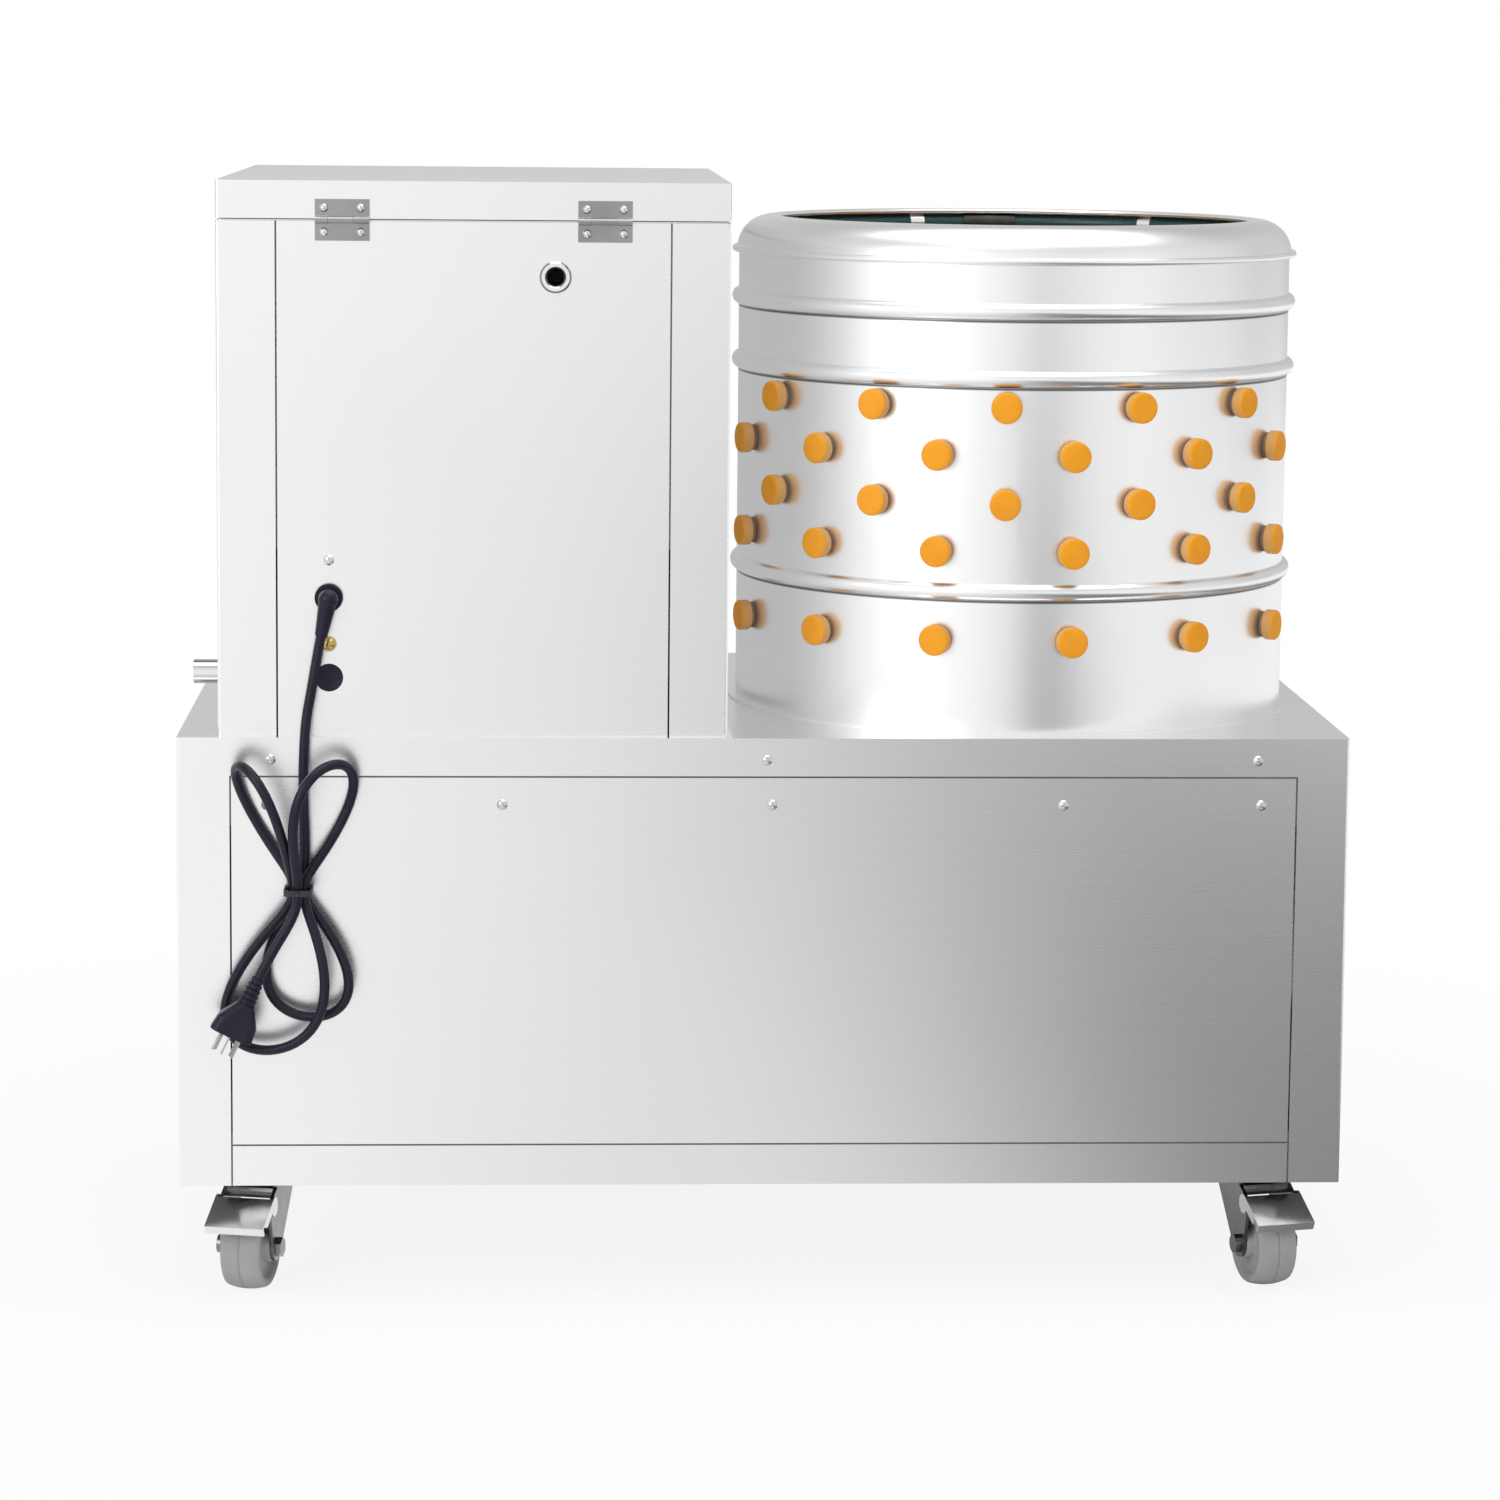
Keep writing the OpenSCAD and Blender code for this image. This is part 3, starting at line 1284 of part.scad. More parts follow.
module control_bezels() {
  ring_t = 3;
  barrel = 20;
  well = 16;
  bush = 24;
  bush_well = 20;
  color(black) {
    // Rings of the two push buttons and a plate with the dial's stop
    for (i = [0, 1]) at_control(i) difference() {
      union() {
        cylinder(h = ring_t, r = button_r + 4.5);
        translate([0, 0, -barrel]) cylinder(h = barrel, r = control_hole_r - fit);
      }
      translate([0, 0, -well]) cylinder(h = well + ring_t + over, r = button_r + running);
    }
    // Frame of the heater's rocker
    at_control(2) difference() {
      union() {
        linear_extrude(ring_t) rounded_rect(rocker_w + 8, rocker_l + 8, 3);
        translate([0, 0, -barrel]) cylinder(h = barrel, r = control_hole_r - fit);
      }
      translate([-rocker_w / 2 - fit, -rocker_l / 2 - fit, -rocker_drop])
        cube([rocker_w + 2 * fit, rocker_l + 2 * fit, barrel]);
      translate([-rocker_w, 0, rocker_axis]) rotate([0, 90, 0])
        cylinder(h = 2 * rocker_w, r = rocker_pin_r + running);
    }
    // Bush of the thermostat
    at_control(3) difference() {
      union() {
        cylinder(h = ring_t, r = button_r + 4);
        translate([0, 0, -bush]) cylinder(h = bush, r = control_hole_r - fit);
      }
      translate([0, 0, -bush_well]) cylinder(h = bush_well + ring_t + over, r = knob_stem_r + running);
    }
  }
}

module push_button(i, tint) {
  stem = 8;
  rise = button_travel + 5;
  color(tint) at_control(i) translate([0, 0, -stem]) rotate_extrude()
    polygon([[0, 0], [button_r, 0], [button_r, stem + rise - 1.5], [button_r - 1.5, stem + rise],
      [0, stem + rise]]);
}

module start_button() {
  push_button(0, "#2f8f4e");
}

module stop_button() {
  push_button(1, "#c0392b");
}

module heater_switch() {
  color(black) at_control(2) translate([0, 0, rocker_axis]) {
    // Rocker with its pins, held tilted to off
    rotate([rocker_tilt, 0, 0]) rotate([90, 0, 90]) linear_extrude(rocker_w - 2 * fit, center = true)
      polygon([[-4, -3], [4, -3], [rocker_l / 2 - 1.2, 5], [rocker_l / 2 - 1.2, 7], [0, 5.6],
        [-rocker_l / 2 + 1.2, 7], [-rocker_l / 2 + 1.2, 5]]);
    rotate([0, 90, 0]) cylinder(h = rocker_w + 4, r = rocker_pin_r, center = true);
  }
}

module thermostat_knob() {
  grip_n = 12;
  color(black) at_control(3) {
    translate([0, 0, -18]) cylinder(h = 18 + knob_gap + over, r = knob_stem_r);
    difference() {
      translate([0, 0, knob_gap]) rotate_extrude()
        polygon([[0, 0], [knob_r, 0], [knob_r, 3], [knob_r - 3, 5], [knob_r - 4, knob_h - 1.5],
          [knob_r - 5.5, knob_h], [0, knob_h]]);
      for (i = [0:grip_n - 1])
        rotate([0, 0, (i + 0.5) * 360 / grip_n]) translate([knob_r, 0, knob_gap + 5])
          cylinder(h = knob_h, r = 4.4);
    }
  }
}

module caster_plates() {
  head_h = 5;
  pin_end = crown_z - crown_t - fit;
  color(bright_steel) at_corners() {
    // Plate, upper race and the pin that the fork turns on
    difference() {
      union() {
        translate([0, 0, caster_h - plate_sheet]) linear_extrude(plate_sheet)
          rounded_rect(plate_x, plate_y, 9);
        translate([0, 0, crown_z + 0.5]) cylinder(h = race_h + over, r1 = race_r - 2, r2 = race_r);
        translate([0, 0, pin_end - 4]) cylinder(h = caster_h - plate_sheet - pin_end + 4, r = kingpin_r);
        translate([0, 0, pin_end - 4]) cylinder(h = 4, r = kingpin_r + 4);
      }
      at_bolts() cylinder(h = caster_h + over, r = bolt_r + fit);
    }
    // Bolts from below
    at_bolts() {
      translate([0, 0, caster_h - plate_sheet - fit - head_h])
        cylinder(h = head_h, r = 1.7 * bolt_r, $fn = 6);
      translate([0, 0, caster_h - plate_sheet - fit])
        cylinder(h = plate_sheet + corner_plate_t + fit, r = bolt_r);
    }
  }
}

// Children in the frame of one caster: its pin on the Z axis, its wheel towards -Y
module at_caster(i) {
  s = caster_signs[i];
  translate([s[0] * (cab_w / 2 - caster_x), mid_y + s[1] * (cab_d / 2 - caster_y), 0])
    rotate([0, 0, caster_turns[i]]) children();
}

// Angle at which the line from p touches the circle about c, on the given side
function touch(p, c, r, side) = atan2(p[1] - c[1], p[0] - c[0]) + side * acos(r / norm(p - c));

// Points of an arc from angle a to b
function arc(c, r, a, b) =
  [for (i = [0:arc_steps]) let (t = a + (b - a) * i / arc_steps) c + r * [cos(t), sin(t)]];

module fork(i, braked) {
  eye_r = 12;
  axle = [-caster_trail, wheel_r];
  ear = [pedal_y, pedal_z];
  crown_front = 21;
  crown_back = -29;
  crown_low = crown_z - crown_t;
  leg_front = [crown_front, crown_low - 6];
  leg_back = [crown_back - 3, crown_low];
  head_l = 5;
  skirt_r = race_r + 1.5;
  eye = arc(axle, eye_r, touch(leg_front, axle, eye_r, -1), touch(leg_back, axle, eye_r, 1) - 360);
  color(bright_steel) at_caster(i) {
    difference() {
      union() {
        // Crown with the race's skirt
        translate([-fork_half - fork_t, crown_back, crown_low])
          cube([2 * (fork_half + fork_t), crown_front - crown_back, crown_t]);
        translate([0, 0, crown_low]) cylinder(h = crown_t + 4, r = skirt_r + 2.5);
        // Two legs from the crown to the axle, with ears for the pedal's pin
        for (side = [-1, 1]) translate([side * (fork_half + fork_t / 2), 0, 0]) run_x(fork_t)
          polygon(concat([[crown_front, crown_z], leg_front], eye,
            braked ? arc(ear, pedal_ear_r, 230, 80) : [leg_back], [[crown_back + 4, crown_z]]));
      }
      translate([0, 0, crown_z - over]) cylinder(h = 2 * race_h, r = skirt_r);
      translate([0, 0, crown_low - over]) cylinder(h = crown_t + 2 * over, r = kingpin_r + running);
      if (braked) translate([0, pedal_y, pedal_z]) rotate([0, 90, 0])
        cylinder(h = 4 * fork_half, r = pedal_pin_r + running, center = true);
    }
    // Axle bolt with its head and nut
    translate([0, axle[0], axle[1]]) rotate([0, 90, 0]) {
      cylinder(h = 2 * (fork_half + fork_t) + 1, r = axle_r, center = true);
      translate([0, 0, fork_half + fork_t + fit / 2]) cylinder(h = head_l, r = 1.75 * axle_r, $fn = 6);
      translate([0, 0, -fork_half - fork_t - fit / 2 - head_l]) cylinder(h = head_l, r = 1.6 * axle_r);
    }
  }
}

module wheel(i) {
  crown_r = 52;
  hub_r = 13;
  web_half = wheel_w / 2 - 5;
  rim_r = wheel_r - 10;
  color(grey_rubber) at_caster(i) translate([0, -caster_trail, wheel_r]) rotate([0, 90, 0])
    rotate_extrude() {
    translate([axle_r + running, -fork_half + 0.6]) square([hub_r - axle_r, 2 * fork_half - 1.2]);
    translate([hub_r - over, -web_half]) square([rim_r - hub_r + 2 * over, 2 * web_half]);
    intersection() {
      translate([rim_r, -wheel_w / 2]) square([wheel_r - rim_r + over, wheel_w]);
      translate([wheel_r - crown_r, 0]) circle(crown_r);
    }
  }
}

module pedal(i) {
  plate_l = 38;
  slope = 28;
  lip = 8;
  color(bright_steel) at_caster(i) translate([0, pedal_y, pedal_z]) {
    // Pressed plate that slopes down over the wheel, with a turned-down lip
    rotate([slope, 0, 0]) {
      translate([-pedal_half, -plate_l, pedal_arm_r - pedal_t]) cube([2 * pedal_half, plate_l, pedal_t]);
      translate([-pedal_half, -plate_l, pedal_arm_r - lip]) cube([2 * pedal_half, pedal_t, lip]);
    }
    // Cheeks outside the fork, on the pivot pin
    for (side = [-1, 1]) translate([side * (pedal_half - pedal_t / 2), 0, 0]) run_x(pedal_t) {
      circle(pedal_arm_r);
      rotate(slope) translate([-plate_l * 0.7, 0]) square([plate_l * 0.7, pedal_arm_r]);
    }
    rotate([0, 90, 0]) cylinder(h = 2 * pedal_half, r = pedal_pin_r, center = true);
  }
}

// Mains lead: smooth curve through points
function spline(p, steps) = [for (i = [1:len(p) - 3], j = [0:steps - 1]) let (t = j / steps)
  0.5 * (2 * p[i] + t * (p[i + 1] - p[i - 1]) + t * t * (2 * p[i - 1] - 5 * p[i] + 4 * p[i + 1] - p[i + 2])
    + t * t * t * (3 * p[i] - p[i - 1] - 3 * p[i + 1] + p[i + 2]))];

// Point of a loop at angle u: it leaves one strand of the waist and comes back to the next
function loop_point(k, u) =
  let (a = strand_at[k], b = strand_at[k + 1], g = loops[k], s = sin(u), w = (1 - cos(u)) / 2,
    open = pow(s, 3) / (s * s + waist_draw * waist_draw))
  [a[0] + (b[0] - a[0]) * w + open * (g[0] + 2 * g[3] * cos(u)),
    a[1] + (b[1] - a[1]) * w + open * (g[1] + 2 * g[4] * cos(u)), waist_z + g[2] * s];

function strand_top(k, z) = [strand_at[k][0], strand_at[k][1], z];

drop_points = concat([cord_start - 12 * gland_dir, cord_start, cord_start + 12 * gland_dir], cord_drop,
  [strand_top(0, waist_z), strand_top(0, waist_z - 20)]);
tail_points = concat([strand_top(4, waist_z + 20), strand_top(4, waist_z)], cord_tail,
  [cord_tail[len(cord_tail) - 1] + 12 * [-sin(plug_lean), 0, -cos(plug_lean)]]);
cord_path = concat(spline(drop_points, 2),
  [for (k = [0:3], i = [0:loop_rings - 1]) loop_point(k, i * 180 / loop_rings)],
  spline(tail_points, 2), [cord_tail[len(cord_tail) - 1]]);
cord_route = [for (p = cord_path) [p[0], rear_y - p[1], p[2]]];
cord_end = cord_route[len(cord_route) - 1];
cord_length = sum_of([for (i = [1:len(cord_route) - 1]) norm(cord_route[i] - cord_route[i - 1])]);
function sum_of(v, i = 0) = i < len(v) ? v[i] + sum_of(v, i + 1) : 0;
// Least gap between stretches that are further apart along the lead than a bend
cord_gap = min([for (i = [0:len(cord_route) - 7], j = [i + 6:len(cord_route) - 1])
  norm(cord_route[i] - cord_route[j])]) - cord_d;

module tube(route, r, sides) {
  n = len(route);
  rings = [for (i = [0:n - 1])
    let (t = route[min(i + 1, n - 1)] - route[max(i - 1, 0)], a = cross(t, [0, 1, 0]),
      e = a / norm(a), f = cross(e, t) / norm(t))
    each [for (k = [0:sides - 1]) route[i] + r * (cos(k * 360 / sides) * e + sin(k * 360 / sides) * f)]];
  sides_tri = [for (i = [0:n - 2], k = [0:sides - 1])
    let (a = i * sides + k, b = i * sides + (k + 1) % sides)
    each [[a, a + sides, b], [b, a + sides, b + sides]]];
  caps = [for (k = [1:sides - 2]) each [[0, k, k + 1],
    [(n - 1) * sides, (n - 1) * sides + k + 1, (n - 1) * sides + k]]];
  polyhedron(rings, concat(sides_tri, caps));
}

module mains_cord() {
  echo(cord_length = cord_length, cord_gap = cord_gap, rings = len(cord_route));
  color(black) tube(cord_route, cord_r, cord_sides);
}

module cord_gland() {
  flange_t = 4;
  color(black) translate([gland_ax, box_y0 - fit, gland_az]) {
    rotate([90, 0, 0]) cylinder(h = flange_t, r = gland_r);
    rotate([90, 0, 0]) translate([0, 0, -12]) cylinder(h = gland_reach + 12 - fit, r = gland_neck_r - 2);
    translate([0, fit - gland_reach, 0]) {
      sphere(gland_neck_r);
      rotate([0, gland_lean, 0]) mirror([0, 0, 1])
        cylinder(h = gland_sleeve, r1 = gland_neck_r - 0.6, r2 = cord_r + 1);
    }
  }
}

module cord_tie() {
  tie_t = 1.6;
  tie_h = 5;
  tie_ease = 1.3;
  half_x = strand_pitch / 2 + cord_r + tie_ease;
  half_y = strand_pitch + cord_r + tie_ease;
  color(black) translate([waist_x, rear_y - layer_0 - strand_pitch, waist_z - tie_h / 2]) {
    linear_extrude(tie_h) difference() {
      rounded_rect(2 * (half_x + tie_t), 2 * (half_y + tie_t), cord_r + tie_t);
      rounded_rect(2 * half_x, 2 * half_y, cord_r);
    }
    // Twisted ends
    translate([0, -half_y - tie_t - 4, tie_h / 2]) rotate([-90, 0, 0]) cylinder(h = 5, r = 1.8);
  }
}

// Children in the frame of the plug: -Z along the lead, the lead's end at the origin
module at_plug() {
  translate(cord_end) rotate([0, plug_lean, 0]) translate([0, 0, -weld]) children();
}

module mains_plug() {
  rib_n = 5;
  neck_r = cord_r + 3.5;
  face_r = 7;
  color(black) at_plug() {
    // Ribbed strain relief
    mirror([0, 0, 1]) rotate_extrude() polygon(concat([[0, 0], [cord_r + 1, 0]],
      [for (i = [0:rib_n - 1]) let (z = i * plug_relief / rib_n, r = cord_r + 1.4 + 1.8 * i / (rib_n - 1))
        each [[r, z + 0.6], [r, z + 3], [r - 1, z + 3.4], [r - 1, z + 4.6]]],
      [[neck_r, plug_relief], [0, plug_relief]]));
    // Body that widens to the face
    hull() {
      translate([0, 0, -plug_relief - 2]) cylinder(h = 2, r = neck_r, $fn = 32);
      translate([0, 0, -plug_relief - plug_l * 0.6]) linear_extrude(1)
        rounded_rect(plug_w - 3, plug_t - 2, face_r, $fn = 32);
      translate([0, 0, -plug_relief - plug_l]) linear_extrude(1)
        rounded_rect(plug_w, plug_t, face_r, $fn = 32);
    }
  }
}

module plug_pins() {
  pin_w = 6.3;
  pin_t = 1.6;
  pin_l = 17;
  color("#c9b067") at_plug() translate([0, 0, -plug_relief - plug_l - weld]) {
    // Two slanted blades and the earth blade
    for (side = [-1, 1])
      translate([side * 7.9, -2, -pin_l / 2]) rotate([0, 0, side * 30])
        cube([pin_t, pin_w, pin_l], center = true);
    translate([0, 8, -pin_l / 2 - 1.5]) cube([pin_t, pin_w, pin_l + 3], center = true);
  }
}

base_frame();
cabinet_top();
cabinet_sides();
rear_panel();
front_panel();
bottom_rails();
case_screws();
feather_chute();
plucking_drum();
drum_rim();
drum_fingers();
bearing_stand();
shaft_bearings();
motor_body();
motor_bracket();
drive_belt();
spray_hose();
hose_clips();
water_inlet();
scalder_sides();
scalder_rear_panel();
scalder_front_panel();
scalding_tank();
tank_guard();
heating_element();
temperature_probe();
overflow_fitting();
drain_pipe();
hinge_lower_leaves();
earth_stud();
cord_gland();
control_bezels();
caster_plates();
mains_cord();
cord_tie();
mains_plug();
plug_pins();
scalder_lid();
lid_liner();
lid_handle();
hinge_upper_leaves();
feather_plate();
plate_fingers();
main_shaft();
driven_pulley();
motor_pulley();
start_button();
stop_button();
heater_switch();
thermostat_knob();
fork(0, true);  // rear_left_fork
fork(1, true);  // rear_right_fork
fork(2, false);  // front_left_fork
fork(3, false);  // front_right_fork
wheel(0);  // rear_left_wheel
wheel(1);  // rear_right_wheel
wheel(2);  // front_left_wheel
wheel(3);  // front_right_wheel
pedal(0);  // rear_left_pedal
pedal(1);  // rear_right_pedal
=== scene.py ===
"""Looks of the scalding and plucking machine: camera, mains lead, rubber fingers, screws, finishes, light."""

import math

import bmesh
import bpy
from mathutils import Matrix, Vector


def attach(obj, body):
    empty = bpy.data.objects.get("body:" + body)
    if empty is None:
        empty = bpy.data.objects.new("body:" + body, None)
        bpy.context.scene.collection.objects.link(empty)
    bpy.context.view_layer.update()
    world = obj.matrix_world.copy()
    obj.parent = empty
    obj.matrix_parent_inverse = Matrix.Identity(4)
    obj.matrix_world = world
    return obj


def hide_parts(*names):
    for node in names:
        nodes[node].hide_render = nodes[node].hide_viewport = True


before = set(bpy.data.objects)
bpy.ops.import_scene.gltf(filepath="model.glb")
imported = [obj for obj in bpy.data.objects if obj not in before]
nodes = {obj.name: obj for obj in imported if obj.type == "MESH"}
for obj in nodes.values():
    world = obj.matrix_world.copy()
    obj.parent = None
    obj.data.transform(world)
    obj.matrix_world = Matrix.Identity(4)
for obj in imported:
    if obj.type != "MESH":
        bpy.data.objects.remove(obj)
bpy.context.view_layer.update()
MM = 0.001

# Sizes of the machine in millimetres, as in the part's source
MID_Y = -8.75
REAR_Y = -278.75
FRONT_Y = 261.25
CABINET_TOP = 492.0
CASING_REAR_Y = -272.75
CASING_FRONT_Y = 255.25
GLAND_X = -375.0
DRUM_X = 235.0
DRUM_R = 250.0
DRUM_WALL = 1.5
# Heights of the drum's beads over the cabinet
BEADS = (124.0, 308.0, 366.0)
BEAD_R = 7.5
PLATE_Z = 512.0
PLATE_T = 5.0
CASTER_TRAIL = 30.0
# Each caster's kingpin in x and y, and its turn in degrees
CASTERS = {"rear_left": (-439.0, -214.75, -13.0), "rear_right": (439.0, -214.75, 13.0),
           "front_left": (-439.0, 197.25, -167.0), "front_right": (439.0, 197.25, 167.0)}


def add_object(name, data):
    made = bpy.data.objects.new(name, data)
    bpy.context.scene.collection.objects.link(made)
    return made


def millimetres(points):
    return [Vector(p) * MM for p in points]


# Camera, fitted to the photograph: place in metres, turns in degrees

CAMERA_AT = (-0.1959, -3.9186, 1.0658)
CAMERA_PAN = -2.743
CAMERA_DIP = 6.903
CAMERA_ROLL = 0.531
SENSOR_WIDTH = 36
FOCAL_LENGTH = 103.08
LENS_SHIFT = (0.0043, -0.11)


def place_camera():
    lens = bpy.data.cameras.new("photo_camera")
    lens.sensor_width = SENSOR_WIDTH
    lens.lens = FOCAL_LENGTH
    lens.shift_x, lens.shift_y = LENS_SHIFT
    camera = add_object("photo_camera", lens)
    turn = (
        Matrix.Rotation(math.radians(CAMERA_PAN), 4, "Z")
        @ Matrix.Rotation(math.radians(90 - CAMERA_DIP), 4, "X")
        @ Matrix.Rotation(math.radians(CAMERA_ROLL), 4, "Z")
    )
    camera.matrix_world = Matrix.Translation(CAMERA_AT) @ turn
    bpy.context.scene.camera = camera


# Mains lead: a drop from the gland, a hank of four loops drawn in by the tie, a tail to the plug.
# Its points are (x, distance behind the cabinet's rear face, z).

CORD_D = 8.6
CORD_ROUNDNESS = 5
GLAND_MOUTH = (GLAND_X, 8, CABINET_TOP + 120)
GLAND_REACH = 32.1
GLAND_LEAN = 11.0
PLUG_LEAN = 26.0
STRAIGHT_LEG = 12
WAIST_X = -400.0
WAIST_Z = 364.0
WAIST_LEG = 20
WAIST_DRAW = 0.14
STRAND_PITCH = 9.8
LAYER = 14.0
# Strands at the waist: pitches sideways and outwards
STRANDS = [(0.5, 0), (-0.5, 0), (-0.5, 1), (0.5, 1), (0, 2)]
# Each loop: its reach from the waist in x, outwards and in z, then its half width in x and outwards
LOOPS = [(10.5, 5.5, -111, 33, 4.5), (-43, 21, 109.5, -13.5, -22.5),
         (-30.5, 2, -138.5, -39.5, -9.5), (29.5, 10, 111, 21, -21.5)]
DROP = [(-389, 9, 536), (-394, 10, 506), (-396, 12, 470), (-396, 13, 436), (-395, 14, 402)]
TAIL = [(-402, 34, 350), (-408, 36, 336), (-418, 38, 319), (-427, 39.5, 303), (-433, 40, 291)]
CURVE_STEPS = 6
LOOP_STEPS = 48


def smooth_through(points, steps):
    """Catmull-Rom curve through all but the first and last point."""
    out = []
    for i in range(1, len(points) - 2):
        a, b, c, d = points[i - 1], points[i], points[i + 1], points[i + 2]
        for j in range(steps):
            t = j / steps
            out.append(0.5 * (
                2 * b + t * (c - a) + t * t * (2 * a - 5 * b + 4 * c - d) + t ** 3 * (3 * b - a - 3 * c + d)
            ))
    return out


def strand(k, z):
    """Place of the hank's strand number k as it passes the waist."""
    return Vector((WAIST_X + STRANDS[k][0] * STRAND_PITCH, LAYER + STRANDS[k][1] * STRAND_PITCH, z))


def loop_point(k, u):
    """Point of the loop from strand k to the next; u runs from 0 to pi."""
    a, b, (dx, dout, dz, hx, hout) = strand(k, 0), strand(k + 1, 0), LOOPS[k]
    s, w = math.sin(u), (1 - math.cos(u)) / 2
    spread = s ** 3 / (s * s + WAIST_DRAW ** 2)
    return Vector((
        a.x + (b.x - a.x) * w + spread * (dx + 2 * hx * math.cos(u)),
        a.y + (b.y - a.y) * w + spread * (dout + 2 * hout * math.cos(u)),
        WAIST_Z + dz * s,
    ))


def leaning_down(lean):
    """Direction that leans from straight down towards the left, in degrees."""
    turn = math.radians(lean)
    return Vector((-math.sin(turn), 0, -math.cos(turn)))


def lead_route():
    out = leaning_down(GLAND_LEAN)
    start = Vector(GLAND_MOUTH) + GLAND_REACH * out
    drop = [start - STRAIGHT_LEG * out, start, start + STRAIGHT_LEG * out] + [Vector(p) for p in DROP]
    drop += [strand(0, WAIST_Z), strand(0, WAIST_Z - WAIST_LEG)]
    last = len(LOOPS)
    tail = [strand(last, WAIST_Z + WAIST_LEG), strand(last, WAIST_Z)] + [Vector(p) for p in TAIL]
    tail.append(tail[-1] + STRAIGHT_LEG * leaning_down(PLUG_LEAN))
    route = smooth_through(drop, CURVE_STEPS)
    for k in range(last):
        route += [loop_point(k, i * math.pi / LOOP_STEPS) for i in range(LOOP_STEPS)]
    route += smooth_through(tail, CURVE_STEPS) + [tail[-2]]
    return [Vector((p.x, REAR_Y - p.y, p.z)) * MM for p in route]


def make_lead(rubber):
    route = lead_route()
    curve = bpy.data.curves.new("mains_lead", "CURVE")
    curve.dimensions = "3D"
    curve.bevel_depth = CORD_D / 2 * MM
    curve.bevel_resolution = CORD_ROUNDNESS
    curve.use_fill_caps = True
    spline = curve.splines.new("POLY")
    spline.points.add(len(route) - 1)
    for point, place in zip(spline.points, route):
        point.co = (*place, 1)
    spline.use_smooth = True
    lead = add_object("mains_lead", curve)
    curve.materials.append(rubber)
    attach(lead, "machine")
    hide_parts("mains_cord")


# Shader nodes and the groups that the finishes share

GRAIN_TILT = 7.0
GRAIN_DETAIL = 4.0
GRAIN_SPAN = (0.3, 0.7)
CLOUD_DETAIL = 6.0
CLOUD_SPAN = (0.42, 0.68)


def node(tree, kind, inputs=None, **settings):
    """New node: first its settings, then the values of inputs that stay unlinked."""
    made = tree.nodes.new(kind)
    for name, value in settings.items():
        setattr(made, name, value)
    for name, value in (inputs or {}).items():
        made.inputs[name].default_value = value
    return made


def ramp_stops(ramp, stops):
    """Fills a colour ramp with (place, grey level) stops."""
    bar = ramp.color_ramp
    bar.interpolation = "EASE"
    while len(bar.elements) < len(stops):
        bar.elements.new(0.5)
    for element, (place, level) in zip(bar.elements, stops):
        element.position = place
        element.color = (level, level, level, 1)


def new_group(name, inputs, outputs):
    group = bpy.data.node_groups.new(name, "ShaderNodeTree")
    for label, kind, value in inputs:
        socket = group.interface.new_socket(name=label, in_out="INPUT", socket_type=kind)
        socket.default_value = value
    for label, kind in outputs:
        group.interface.new_socket(name=label, in_out="OUTPUT", socket_type=kind)
    return group, node(group, "NodeGroupInput"), node(group, "NodeGroupOutput")


def brushed_grain_group():
    """Fine grinding lines. Stretch sets how tight they are along each axis, the tilt takes them over flat tops."""
    group, given, result = new_group(
        "brushed_grain",
        [("Stretch", "NodeSocketVector", (1, 1, 1)), ("Low", "NodeSocketFloat", 0.3),
         ("High", "NodeSocketFloat", 0.4)],
        [("Roughness", "NodeSocketFloat"), ("Height", "NodeSocketFloat")],
    )
    low, high = GRAIN_SPAN
    place = node(group, "ShaderNodeTexCoord")
    tilt = node(group, "ShaderNodeVectorRotate", {"Angle": math.radians(GRAIN_TILT)}, rotation_type="X_AXIS")
    mapping = node(group, "ShaderNodeMapping")
    lines = node(group, "ShaderNodeTexNoise", {"Scale": 1.0, "Detail": GRAIN_DETAIL})
    spread = node(group, "ShaderNodeMapRange", {"From Min": low, "From Max": high})
    group.links.new(place.outputs["Object"], tilt.inputs["Vector"])
    group.links.new(tilt.outputs["Vector"], mapping.inputs["Vector"])
    group.links.new(given.outputs["Stretch"], mapping.inputs["Scale"])
    group.links.new(mapping.outputs["Vector"], lines.inputs["Vector"])
    group.links.new(lines.outputs["Fac"], spread.inputs["Value"])
    group.links.new(given.outputs["Low"], spread.inputs["To Min"])
    group.links.new(given.outputs["High"], spread.inputs["To Max"])
    group.links.new(spread.outputs["Result"], result.inputs["Roughness"])
    group.links.new(lines.outputs["Fac"], result.inputs["Height"])
    return group


def handled_group():
    """Patchy colour from handling: a broad cloud between two tints."""
    group, given, result = new_group(
        "handled",
        [("Clean", "NodeSocketColor", (1, 1, 1, 1)), ("Soiled", "NodeSocketColor", (0.8, 0.8, 0.8, 1)),
         ("Scale", "NodeSocketFloat", 6.0), ("Amount", "NodeSocketFloat", 0.5)],
        [("Color", "NodeSocketColor")],
    )
    low, high = CLOUD_SPAN
    place = node(group, "ShaderNodeTexCoord")
    cloud = node(group, "ShaderNodeTexNoise", {"Detail": CLOUD_DETAIL})
    ramp = node(group, "ShaderNodeMapRange", {"From Min": low, "From Max": high})
    mix = node(group, "ShaderNodeMix", data_type="RGBA")
    group.links.new(place.outputs["Object"], cloud.inputs["Vector"])
    group.links.new(given.outputs["Scale"], cloud.inputs["Scale"])
    group.links.new(cloud.outputs["Fac"], ramp.inputs["Value"])
    group.links.new(given.outputs["Amount"], ramp.inputs["To Max"])
    group.links.new(ramp.outputs["Result"], mix.inputs["Factor"])
    group.links.new(given.outputs["Clean"], mix.inputs["A"])
    group.links.new(given.outputs["Soiled"], mix.inputs["B"])
    group.links.new(mix.outputs["Result"], result.inputs["Color"])
    return group


BRUSHED = brushed_grain_group()
HANDLED = handled_group()


